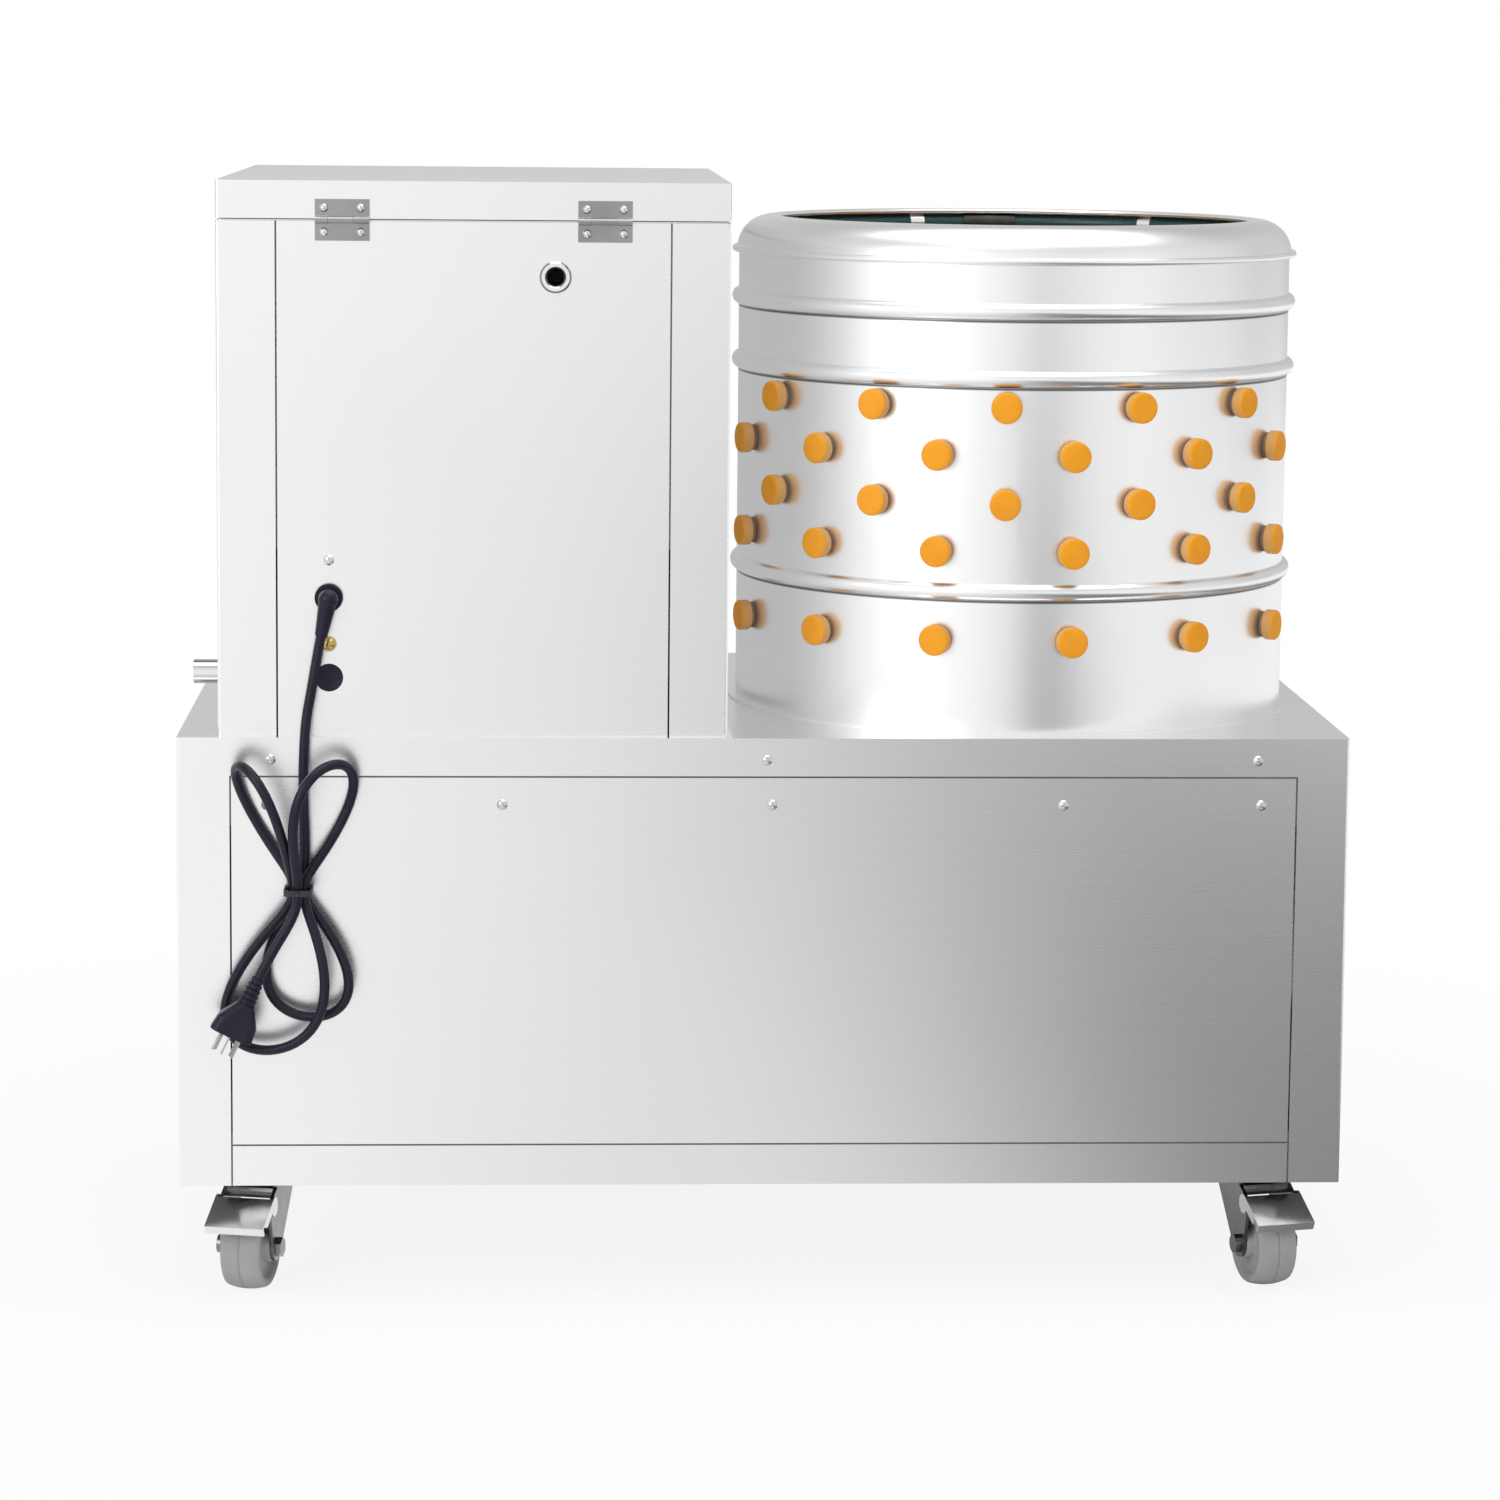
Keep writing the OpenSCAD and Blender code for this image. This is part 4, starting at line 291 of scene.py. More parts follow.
# Finishes: colours clean and soiled, roughness from low to high. A metal's stretch is its grain along each axis,
# a moulding's grain is even. Scale is the size of the soiled patches, bump the strength of the grain's relief.

METAL_RELIEF = 0.0004
METAL_SOIL = 0.5
MOULDED_RELIEF = 0.0003
MOULDED_SOIL = 0.6
DULL_SPECULAR = 0.3
METALS = {
    "sheet_steel": {"clean": (0.91, 0.912, 0.916), "soiled": (0.88, 0.882, 0.886), "stretch": (8, 8, 1400),
                    "rough": (0.266, 0.278), "bump": 0.0012},
    "drum_steel": {"clean": (0.92, 0.922, 0.928), "soiled": (0.89, 0.892, 0.90), "stretch": (6, 6, 1200),
                   "rough": (0.285, 0.30), "bump": 0.0015},
    "tank_steel": {"clean": (0.72, 0.725, 0.73), "soiled": (0.64, 0.64, 0.64), "stretch": (8, 8, 1100),
                   "rough": (0.26, 0.33), "bump": 0.004},
    "hinge_steel": {"clean": (0.36, 0.365, 0.37), "soiled": (0.27, 0.27, 0.275), "stretch": (700, 700, 12),
                    "rough": (0.28, 0.42), "scale": 22},
    "zinc_plate": {"clean": (0.70, 0.71, 0.72), "soiled": (0.55, 0.55, 0.54), "stretch": (90, 90, 90),
                   "rough": (0.22, 0.4), "scale": 25},
    # Zinc of the forks, caster plates and aprons, darkened partly as painted shade for the shade that falls under
    # the machine
    "dark_zinc_painted_shade": {"clean": (0.25, 0.253, 0.257), "soiled": (0.18, 0.18, 0.18), "stretch": (90, 90, 90),
                     "rough": (0.2, 0.32), "bump": 0.02, "scale": 14},
    "bright_zinc": {"clean": (0.80, 0.805, 0.81), "soiled": (0.70, 0.70, 0.70), "stretch": (60, 60, 60),
                    "rough": (0.17, 0.24), "bump": 0.01},
    "bright_chrome": {"clean": (0.80, 0.81, 0.83), "soiled": (0.72, 0.73, 0.75), "stretch": (60, 60, 60),
                      "rough": (0.05, 0.14), "bump": 0.02},
    "turned_brass": {"clean": (0.62, 0.45, 0.17), "soiled": (0.45, 0.32, 0.13), "stretch": (300, 300, 60),
                     "rough": (0.22, 0.4), "scale": 60},
    "dark_bronze": {"clean": (0.07, 0.075, 0.065), "soiled": (0.04, 0.045, 0.04), "stretch": (200, 200, 60),
                    "rough": (0.35, 0.5), "scale": 60},
    "nickel_plate": {"clean": (0.52, 0.50, 0.47), "soiled": (0.40, 0.38, 0.35), "stretch": (300, 300, 60),
                     "rough": (0.2, 0.34), "scale": 60},
    "bare_iron": {"clean": (0.22, 0.225, 0.23), "soiled": (0.16, 0.14, 0.13), "stretch": (220, 220, 220),
                  "rough": (0.45, 0.7), "bump": 0.25},
    "turned_steel": {"clean": (0.56, 0.565, 0.57), "soiled": (0.42, 0.42, 0.42), "stretch": (20, 20, 900),
                     "rough": (0.2, 0.38)},
}
MOULDINGS = {
    "frame_paint": {"clean": (0.16, 0.17, 0.18), "soiled": (0.11, 0.115, 0.12), "rough": (0.35, 0.55),
                    "grain": 260, "scale": 9},
    "black_plastic": {"clean": (0.022, 0.023, 0.028), "soiled": (0.035, 0.035, 0.04), "rough": (0.38, 0.55)},
    "lead_rubber": {"clean": (0.0055, 0.0065, 0.019), "soiled": (0.010, 0.011, 0.027), "rough": (0.34, 0.46),
                    "grain": 700},
    "belt_rubber": {"clean": (0.018, 0.018, 0.02), "soiled": (0.05, 0.05, 0.05), "rough": (0.6, 0.8),
                    "grain": 400},
    "spray_hose_green": {"clean": (0.012, 0.06, 0.058), "soiled": (0.02, 0.075, 0.07), "rough": (0.25, 0.38),
                         "grain": 300},
    "grey_tread": {"clean": (0.42, 0.425, 0.43), "soiled": (0.30, 0.30, 0.30), "rough": (0.5, 0.7),
                   "grain": 350, "scale": 18},
    "green_plastic": {"clean": (0.03, 0.22, 0.07), "soiled": (0.025, 0.16, 0.055), "rough": (0.25, 0.35)},
    "red_plastic": {"clean": (0.42, 0.02, 0.018), "soiled": (0.30, 0.018, 0.016), "rough": (0.25, 0.35)},
    "finger_rubber": {"clean": (0.94, 0.38, 0.012), "soiled": (0.84, 0.31, 0.012), "rough": (0.5, 0.65),
                      "grain": 500, "scale": 40},
}
# The machine's own nodes that wear each finish
WEARERS = {
    "sheet_steel": ("cabinet_top", "cabinet_sides", "rear_panel", "front_panel", "bottom_rails", "feather_chute",
                    "scalder_sides", "scalder_rear_panel", "scalder_front_panel", "scalder_lid", "lid_liner",
                    "tank_guard", "hose_clips"),
    "drum_steel": ("plucking_drum", "drum_rim", "feather_plate", "lid_handle"),
    "tank_steel": ("scalding_tank", "temperature_probe"),
    "hinge_steel": ("hinge_lower_leaves", "hinge_upper_leaves"),
    "dark_zinc_painted_shade": ("caster_plates", "rear_left_fork", "rear_right_fork", "front_left_fork", "front_right_fork"),
    "bright_zinc": ("rear_left_pedal", "rear_right_pedal"),
    "bright_chrome": ("overflow_fitting", "drain_pipe"),
    "turned_brass": ("earth_stud",),
    "nickel_plate": ("plug_pins",),
    "dark_bronze": ("water_inlet",),
    "bare_iron": ("driven_pulley", "motor_pulley", "shaft_bearings"),
    "turned_steel": ("main_shaft", "heating_element"),
    "frame_paint": ("base_frame", "bearing_stand", "motor_bracket", "motor_body"),
    "black_plastic": ("control_bezels", "heater_switch", "thermostat_knob", "cord_tie"),
    "lead_rubber": ("cord_gland", "mains_plug"),
    "belt_rubber": ("drive_belt",),
    "spray_hose_green": ("spray_hose",),
    "green_plastic": ("start_button",),
    "red_plastic": ("stop_button",),
}
# Painted shade in the drum's creases and painted sheen and shade on the fingers, as bands in millimetres; painted
# reflection on the chrome, as tones by how far it turns away
CREASE_SHADE_DROP = 0.9
CREASE_SHADE_BAND = (0.5, 1.6)
CREASE_SHADE_COVER = 0.9
CREASE_SHADE_TINT = (0.06, 0.06, 0.065)
# On the fingers, side is a painted sheen round the head's side and collar is painted shade under the head
FINGER_LIGHT_MARKS = {"side": (-12.4, -3.5), "collar": (-3.2, 0.2)}
FINGER_LIGHT_TINTS = {"side": (0.74, 0.40, 0.14), "collar": (0.30, 0.20, 0.14)}
CHROME_REFLECTION_TONES = [(0.0, 1.0), (0.2, 0.95), (0.32, 0.28), (0.46, 0.45), (0.58, 0.95), (0.76, 0.9), (0.88, 0.14),
                (1.0, 0.08)]


def principled(finish):
    return finish.node_tree.nodes["Principled BSDF"]


def new_finish(name):
    finish = bpy.data.materials.new(name)
    finish.use_nodes = True
    return finish, finish.node_tree, principled(finish)


def rgba(colour):
    return (*colour, 1)


def worn_finish(name, clean, soiled, stretch, rough, bump, relief_depth, scale, amount):
    """Patchy colour, with grain in the roughness and the relief."""
    finish, tree, shader = new_finish(name)
    low, high = rough
    tint = node(tree, "ShaderNodeGroup", node_tree=HANDLED, inputs={
        "Clean": rgba(clean), "Soiled": rgba(soiled), "Scale": scale, "Amount": amount})
    grain = node(tree, "ShaderNodeGroup", node_tree=BRUSHED, inputs={
        "Stretch": stretch, "Low": low, "High": high})
    relief = node(tree, "ShaderNodeBump", {"Strength": bump, "Distance": relief_depth})
    tree.links.new(tint.outputs["Color"], shader.inputs["Base Color"])
    tree.links.new(grain.outputs["Roughness"], shader.inputs["Roughness"])
    tree.links.new(grain.outputs["Height"], relief.inputs["Height"])
    tree.links.new(relief.outputs["Normal"], shader.inputs["Normal"])
    return finish


def metal_finish(name, clean, soiled, stretch, rough, bump=0.05, scale=5.0):
    finish = worn_finish(name, clean, soiled, stretch, rough, bump, METAL_RELIEF, scale, METAL_SOIL)
    principled(finish).inputs["Metallic"].default_value = 1.0
    return finish


def moulded_finish(name, clean, soiled, rough, grain=900.0, bump=0.12, scale=30.0):
    stretch = (grain, grain, grain)
    return worn_finish(name, clean, soiled, stretch, rough, bump, MOULDED_RELIEF, scale, MOULDED_SOIL)


def overlay(finish, cover, tint):
    """Lays a plain tint over the base colour where the cover says so."""
    tree, base = finish.node_tree, principled(finish).inputs["Base Color"]
    mix = node(tree, "ShaderNodeMix", {"B": rgba(tint)}, data_type="RGBA")
    tree.links.new(cover, mix.inputs["Factor"])
    tree.links.new(base.links[0].from_socket, mix.inputs["A"])
    tree.links.new(mix.outputs["Result"], base)


def bead_crease_painted_shade(finish):
    """Painted shade: a dark line laid into the base colour along the crease under each bead of the drum."""
    tree = finish.node_tree
    place = node(tree, "ShaderNodeTexCoord")
    axes = node(tree, "ShaderNodeSeparateXYZ")
    tree.links.new(place.outputs["Object"], axes.inputs["Vector"])
    nearest = None
    for height in BEADS:
        crease = (CABINET_TOP + height - BEAD_R - CREASE_SHADE_DROP) * MM
        offset = node(tree, "ShaderNodeMath", {1: crease}, operation="SUBTRACT")
        away = node(tree, "ShaderNodeMath", operation="ABSOLUTE")
        tree.links.new(axes.outputs["Z"], offset.inputs[0])
        tree.links.new(offset.outputs[0], away.inputs[0])
        if nearest is None:
            nearest = away.outputs[0]
            continue
        least = node(tree, "ShaderNodeMath", operation="MINIMUM")
        tree.links.new(nearest, least.inputs[0])
        tree.links.new(away.outputs[0], least.inputs[1])
        nearest = least.outputs[0]
    near, far = CREASE_SHADE_BAND
    band = node(tree, "ShaderNodeMapRange", {
        "From Min": near * MM, "From Max": far * MM, "To Min": CREASE_SHADE_COVER, "To Max": 0.0})
    tree.links.new(nearest, band.inputs["Value"])
    # The dark line is painted shade, laid over the base colour
    overlay(finish, band.outputs["Result"], CREASE_SHADE_TINT)


def chrome_painted_reflection(finish):
    """Painted reflection: light and dark bands in the base colour by how far the chrome turns away, as if it
    mirrored a whole room.
    """
    tree, base = finish.node_tree, principled(finish).inputs["Base Color"]
    edge = node(tree, "ShaderNodeLayerWeight")
    bands = node(tree, "ShaderNodeValToRGB")
    ramp_stops(bands, CHROME_REFLECTION_TONES)
    mix = node(tree, "ShaderNodeMix", {"Factor": 1.0}, data_type="RGBA", blend_type="MULTIPLY")
    tree.links.new(edge.outputs["Facing"], bands.inputs["Fac"])
    tree.links.new(base.links[0].from_socket, mix.inputs["A"])
    tree.links.new(bands.outputs["Color"], mix.inputs["B"])
    tree.links.new(mix.outputs["Result"], base)


def finger_painted_light(finish):
    """Painted sheen: paler rubber round the head's side. Painted shade: a darker collar under the head."""
    for mark, tint in FINGER_LIGHT_TINTS.items():
        band = node(finish.node_tree, "ShaderNodeAttribute", attribute_name=mark)
        overlay(finish, band.outputs["Fac"], tint)


def dress_machine():
    """Puts the finishes on the machine's own nodes and gives them back by name."""
    made = {name: metal_finish(name, **look) for name, look in METALS.items()}
    made.update({name: moulded_finish(name, **look) for name, look in MOULDINGS.items()})
    bead_crease_painted_shade(made["drum_steel"])
    chrome_painted_reflection(made["bright_chrome"])
    finger_painted_light(made["finger_rubber"])
    for name in ("lead_rubber", "finger_rubber"):
        principled(made[name]).inputs["Specular IOR Level"].default_value = DULL_SPECULAR
    for finish, names in WEARERS.items():
        for name in names:
            mesh = nodes[name].data
            mesh.materials.clear()
            mesh.materials.append(made[finish])
    return made


# Building of meshes

def mesh_from(name, work):
    mesh = bpy.data.meshes.new(name)
    work.to_mesh(mesh)
    work.free()
    return mesh


def turns(segments):
    return [2 * math.pi * i / segments for i in range(segments)]


def lathe(name, profile, segments, marks=None, closed=False):
    """Turned shape about Z from (radius, height) points in millimetres; marks are bands of height by name."""
    work = bmesh.new()
    rings = []
    for radius, height in profile:
        if radius < 1e-6:
            rings.append([work.verts.new((0, 0, height * MM))])
            continue
        rings.append([
            work.verts.new((radius * MM * math.cos(a), radius * MM * math.sin(a), height * MM))
            for a in turns(segments)
        ])
    for low, high in zip(rings, rings[1:] + (rings[:1] if closed else [])):
        for i in range(segments):
            j = (i + 1) % segments
            corners = [low[i % len(low)], low[j % len(low)], high[j % len(high)], high[i % len(high)]]
            unique = list(dict.fromkeys(corners))
            if len(unique) > 2:
                work.faces.new(unique)
    bmesh.ops.recalc_face_normals(work, faces=work.faces)
    for face in work.faces:
        face.smooth = True
    mesh = mesh_from(name, work)
    for label, (low, high) in (marks or {}).items():
        band = mesh.attributes.new(label, "FLOAT", "POINT")
        for vertex, value in zip(mesh.vertices, band.data):
            value.value = 1.0 if low <= vertex.co.z / MM <= high else 0.0
    return add_object(name, mesh)


def repeat_tree():
    """Sets a shape on every point, turned by the points' aim."""
    tree = bpy.data.node_groups.new("repeat_on_points", "GeometryNodeTree")
    tree.interface.new_socket(name="Places", in_out="INPUT", socket_type="NodeSocketGeometry")
    tree.interface.new_socket(name="Shape", in_out="INPUT", socket_type="NodeSocketObject")
    tree.interface.new_socket(name="Finish", in_out="INPUT", socket_type="NodeSocketMaterial")
    tree.interface.new_socket(name="Result", in_out="OUTPUT", socket_type="NodeSocketGeometry")
    given, result = node(tree, "NodeGroupInput"), node(tree, "NodeGroupOutput")
    shape = node(tree, "GeometryNodeObjectInfo")
    aim = node(tree, "GeometryNodeInputNamedAttribute", {"Name": "aim"}, data_type="FLOAT_VECTOR")
    turn = node(tree, "FunctionNodeEulerToRotation")
    setter = node(tree, "GeometryNodeInstanceOnPoints")
    real = node(tree, "GeometryNodeRealizeInstances")
    paint = node(tree, "GeometryNodeSetMaterial")
    tree.links.new(given.outputs["Places"], setter.inputs["Points"])
    tree.links.new(given.outputs["Shape"], shape.inputs["Object"])
    tree.links.new(shape.outputs["Geometry"], setter.inputs["Instance"])
    tree.links.new(aim.outputs[0], turn.inputs[0])
    tree.links.new(turn.outputs[0], setter.inputs["Rotation"])
    tree.links.new(setter.outputs["Instances"], real.inputs["Geometry"])
    tree.links.new(real.outputs["Geometry"], paint.inputs["Geometry"])
    tree.links.new(given.outputs["Finish"], paint.inputs["Material"])
    tree.links.new(paint.outputs["Geometry"], result.inputs["Result"])
    return tree


REPEAT = repeat_tree()


def repeat(name, shape, places, finish, body):
    """One plain mesh of the shape at every (point in millimetres, turn in degrees)."""
    mesh = bpy.data.meshes.new(name + "_places")
    mesh.from_pydata(millimetres(p for p, _ in places), [], [])
    aim = mesh.attributes.new("aim", "FLOAT_VECTOR", "POINT")
    for value, (_, turn) in zip(aim.data, places):
        value.vector = [math.radians(a) for a in turn]
    seats = add_object(name + "_places", mesh)
    modifier = seats.modifiers.new("repeat", "NODES")
    modifier.node_group = REPEAT
    sockets = {s.name: s.identifier for s in REPEAT.interface.items_tree if s.in_out == "INPUT"}
    modifier[sockets["Shape"]] = shape
    modifier[sockets["Finish"]] = finish
    seen = seats.evaluated_get(bpy.context.evaluated_depsgraph_get())
    made = add_object(name, bpy.data.meshes.new_from_object(seen))
    made.data.name = name
    bpy.data.objects.remove(seats)
    bpy.data.objects.remove(shape)
    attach(made, body)
    return made


# Rubber fingers: rows of (height over the cabinet, fingers to each half) and rings of (radius, fingers)

FINGER_TURN = -7.0
FINGER_ANGLE = 26.5
FINGER_ROWS = [(82.0, 6), (159.0, 6), (200.7, 5), (242.4, 6), (284.1, 5)]
PLATE_RINGS = [(62.0, 5), (107.0, 9), (152.0, 13)]
FINGER_HEAD = [(0, -14), (8.5, -14), (11.6, -13.9), (12.7, -13.5), (13.3, -12.6), (13.5, -11.4), (13.5, -8.0),
               (13.5, -5.0), (13.1, -3.8), (11.6, -3.0), (11.6, -0.3), (9.3, -0.3)]
FINGER_SEGMENTS = 28
FLANGE_T = 4.3
RIBS = 10
RIB_PITCH = 5.95
RIB_R = 10
RIB_TAPER = 2.0


def finger_profile(wall):
    """Head and collar outside the wall, flange and ribs inside; heights run inwards from the outer face."""
    root = wall + FLANGE_T
    points = FINGER_HEAD + [(9.3, wall + 0.3), (11.5, wall + 0.3), (11.5, root - 0.8), (10.8, root)]
    for i in range(RIBS):
        tip = RIB_R - RIB_TAPER * i / (RIBS - 1)
        points += [(tip - 1.5, root + i * RIB_PITCH + 0.4), (tip - 0.1, root + (i + 0.62) * RIB_PITCH),
                   (tip - 0.3, root + (i + 0.8) * RIB_PITCH)]
    end = root + RIBS * RIB_PITCH
    return points + [(6.5, end), (5.4, end + 2), (3, end + 3.5), (0, end + 4)]


def make_fingers(rubber):
    places = []
    for height, count in FINGER_ROWS:
        for half in (0, 180):
            for i in range(count):
                a = half + FINGER_TURN + (i - (count - 1) / 2) * FINGER_ANGLE
                x = DRUM_X + DRUM_R * math.sin(math.radians(a))
                y = MID_Y - DRUM_R * math.cos(math.radians(a))
                places.append(((x, y, CABINET_TOP + height), (-90, 0, a)))
    shape = lathe("drum_finger", finger_profile(DRUM_WALL), FINGER_SEGMENTS, FINGER_LIGHT_MARKS)
    made = repeat("drum_finger_set", shape, places, rubber, "machine")
    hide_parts("drum_fingers")
    places = []
    for radius, count in PLATE_RINGS:
        for i in range(count):
            a = i * 360 / count
            x = DRUM_X + radius * math.cos(math.radians(a))
            y = MID_Y + radius * math.sin(math.radians(a))
            places.append(((x, y, PLATE_Z), (0, 0, a)))
    shape = lathe("plate_finger", finger_profile(PLATE_T), FINGER_SEGMENTS, FINGER_LIGHT_MARKS)
    made = repeat("plate_finger_set", shape, places, rubber, "finger_plate")
    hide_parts("plate_fingers")


# Screws: places in millimetres; the recess as shares of the head's radius, its slope as a share of the arm

FLANGE_SCREW_XS = (-425, 0, 425)
FLANGE_SCREW_DROP = 19
PANEL_SCREW_XS = (-428.5, -226.96, 5.04, 256.76, 428.5)
PANEL_SCREW_DROP = 58
CASING_SCREW_RISE = 152
HINGE_XS = (-363.0, -141.0)
HINGE_Z = 933.0
HINGE_LEAF_Y = -274.45
HINGE_SCREW_X = 15.5
HINGE_SCREW_Z = 10.25
SCREW_RINGS = 14
SCREW_SEGMENTS = 48
RECESS_ARM = 0.52
RECESS_HALF = 0.13
RECESS_SLOPE = 0.3


def cross_screw(name, head_r, head_h, shank_r, shank_l, recess=1.0):
    """Pan head with a cross recess, on a plain shank."""
    sphere_r = (head_r ** 2 + head_h ** 2) / (2 * head_h)
    arm, half = RECESS_ARM * head_r, RECESS_HALF * head_r

    def top(x, y):
        z = head_h - sphere_r + math.sqrt(max(sphere_r ** 2 - x * x - y * y, 0))
        for u, v in ((abs(x), abs(y)), (abs(y), abs(x))):
            if u < arm and v < half:
                return z - recess * min(1.0, (arm - u) / (RECESS_SLOPE * arm))
        return z

    work = bmesh.new()
    loops = []
    for k in range(1, SCREW_RINGS + 1):
        r = head_r * k / SCREW_RINGS
        loops.append([
            work.verts.new((r * MM * math.cos(t), r * MM * math.sin(t), top(r * math.cos(t), r * math.sin(t)) * MM))
            for t in turns(SCREW_SEGMENTS)
        ])
    for r, z in ((head_r, 0), (shank_r, 0), (shank_r, -shank_l)):
        loops.append([
            work.verts.new((r * MM * math.cos(t), r * MM * math.sin(t), z * MM)) for t in turns(SCREW_SEGMENTS)
        ])
    for low, high in zip(loops, loops[1:]):
        for i in range(SCREW_SEGMENTS):
            j = (i + 1) % SCREW_SEGMENTS
            work.faces.new((low[i], low[j], high[j], high[i]))
    middle = work.verts.new((0, 0, top(0, 0) * MM))
    for i in range(SCREW_SEGMENTS):
        work.faces.new((middle, loops[0][(i + 1) % SCREW_SEGMENTS], loops[0][i]))
    work.faces.new(loops[-1])
    bmesh.ops.remove_doubles(work, verts=work.verts, dist=1e-7)
    bmesh.ops.recalc_face_normals(work, faces=work.faces)
    return add_object(name, mesh_from(name, work))


def make_screws(zinc):
    places = []
    for y, turn in ((REAR_Y, 90), (FRONT_Y, -90)):
        for x in FLANGE_SCREW_XS:
            places.append(((x, y, CABINET_TOP - FLANGE_SCREW_DROP), (turn, 0, 0)))
        for x in PANEL_SCREW_XS:
            places.append(((x, y, CABINET_TOP - PANEL_SCREW_DROP), (turn, 0, 0)))
    places.append(((GLAND_X, CASING_REAR_Y, CABINET_TOP + CASING_SCREW_RISE), (90, 0, 0)))
    shape = cross_screw("case_screw", head_r=4.6, head_h=2.4, shank_r=2, shank_l=5)
    made = repeat("case_screw_set", shape, places, zinc, "machine")
    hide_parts("case_screws")


def make_hinge_screws(zinc):
    for body, side in (("machine", -1), ("lid", 1)):
        places = []
        for middle in HINGE_XS:
            for x in (middle - HINGE_SCREW_X, middle + HINGE_SCREW_X):
                places.append(((x, HINGE_LEAF_Y, HINGE_Z + side * HINGE_SCREW_Z), (90, 0, 0)))
        shape = cross_screw("hinge_screw", head_r=3.8, head_h=2.8, shank_r=1.5, shank_l=0.5, recess=0.7)
        made = repeat(body + "_hinge_screws", shape, places, zinc, body)


# Casters: the wheel's half section as (radius, distance from the middle), and the section of the fork's
# apron as (distance along the fork, height)

WHEEL_R = 37.5
WHEEL_SEGMENTS = 72
WHEEL_SIDE = [(5.1, 20.4), (11.6, 20.4), (13, 19.2), (13, 14.8), (14.4, 13.2), (24.2, 12.2), (26.6, 12.8),
              (27.8, 15.8), (29.2, 17.2), (32.6, 17.8), (34.2, 17.0)]
TREAD_CROWN = 52.0
TREAD_STATIONS = (15.6, 13, 10, 7, 4, 1.8, 0.9)
MOULD_LINE = (WHEEL_R - 0.9, 0.4)
APRON_OUTLINE = [(-27.5, 92.3), (-30.2, 91.6), (-32.2, 89.8), (-33.2, 87.0), (-33.4, 84.0), (-33.0, 81.2),
                 (-31.2, 81.2), (-31.4, 84.0), (-31.3, 86.6), (-30.5, 88.6), (-29.2, 89.8), (-27.5, 90.3)]
APRON_HALF = 20.8
APRON_EDGE = 0.5
APRON_DRAW = 0.3


def wheel_profile():
    """Section of a caster wheel: hub, dished web, crowned tread with a mould line round its middle."""
    crown = [(WHEEL_R - TREAD_CROWN + math.sqrt(TREAD_CROWN ** 2 - z * z), z) for z in TREAD_STATIONS]
    half = WHEEL_SIDE + crown + [MOULD_LINE]
    return half + [(r, -z) for r, z in reversed(half)]


def make_wheels(tread):
    for name, (x, y, turn) in CASTERS.items():
        wheel = lathe(name + "_tyre", wheel_profile(), WHEEL_SEGMENTS, closed=True)
        a = math.radians(turn)
        hub = Vector((x + CASTER_TRAIL * math.sin(a), y - CASTER_TRAIL * math.cos(a), WHEEL_R)) * MM
        spin = Matrix.Rotation(a, 4, "Z") @ Matrix.Rotation(math.radians(90), 4, "Y")
        wheel.data.transform(Matrix.Translation(hub) @ spin)
        wheel.data.materials.append(tread)
        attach(wheel, name + "_wheel")
        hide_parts(name + "_wheel")


def make_aprons(steel):
    """Turned-down rear edge of each fork's crown, between the legs."""
    outline = [Vector(p) for p in APRON_OUTLINE]
    middle = sum(outline, Vector((0, 0))) / len(outline)
    inner = APRON_HALF - APRON_EDGE
    for name, (x, y, turn) in CASTERS.items():
        work = bmesh.new()
        ends = []
        for across, draw in ((-APRON_HALF, APRON_DRAW), (-inner, 0), (inner, 0), (APRON_HALF, APRON_DRAW)):
            ends.append([work.verts.new((across, *(p + (middle - p).normalized() * draw))) for p in outline])
        for low, high in zip(ends, ends[1:]):
            for i in range(len(outline)):
                j = (i + 1) % len(outline)
                work.faces.new((low[i], low[j], high[j], high[i]))
        work.faces.new(ends[0])
        work.faces.new(ends[-1])
        bmesh.ops.recalc_face_normals(work, faces=work.faces)
        mesh = mesh_from(name + "_apron", work)
        pin = Matrix.Translation(Vector((x, y, 0)) * MM) @ Matrix.Rotation(math.radians(turn), 4, "Z")
        mesh.transform(pin @ Matrix.Scale(MM, 4))
        mesh.materials.append(steel)
        apron = add_object(name + "_apron", mesh)
        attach(apron, name + "_caster")


# Small trim

DISC_Z = 543.0
DISC_PROFILE = [(0, 0.35), (10.9, 0.35), (11.2, 0.5), (11.8, 0.5), (12, 0.3), (12, 0.02), (0, 0.02)]
DISC_SEGMENTS = 64
POINTER_AT = (-345.0, 275.35, 580.0)
POINTER_SIZE = (1.8, 0.8, 9.0)
POINTER_EDGE = 0.2


def make_disc(plastic):
    """Bare round sticker under the earth screw, with a fine raised border."""
    disc = lathe("bare_disc", DISC_PROFILE, DISC_SEGMENTS)
    turn = Matrix.Rotation(math.radians(90), 4, "X")
    disc.data.transform(Matrix.Translation(Vector((GLAND_X, CASING_REAR_Y, DISC_Z)) * MM) @ turn)
    disc.data.materials.append(plastic)
    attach(disc, "machine")


def make_pointer(metal):
    """Raised line on the thermostat knob's face, so that its setting can be read."""
    work = bmesh.new()
    bmesh.ops.create_cube(work, size=1, matrix=Matrix.Diagonal((*POINTER_SIZE, 1)))
    bmesh.ops.bevel(work, geom=work.edges[:], offset=POINTER_EDGE, segments=2, affect="EDGES")
    mesh = mesh_from("knob_pointer", work)
    mesh.transform(Matrix.Scale(MM, 4) @ Matrix.Translation(POINTER_AT))
    mesh.materials.append(metal)
    pointer = add_object("knob_pointer", mesh)
    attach(pointer, "thermostat_knob")


# Studio, in metres but for the card, which is in millimetres like the machine

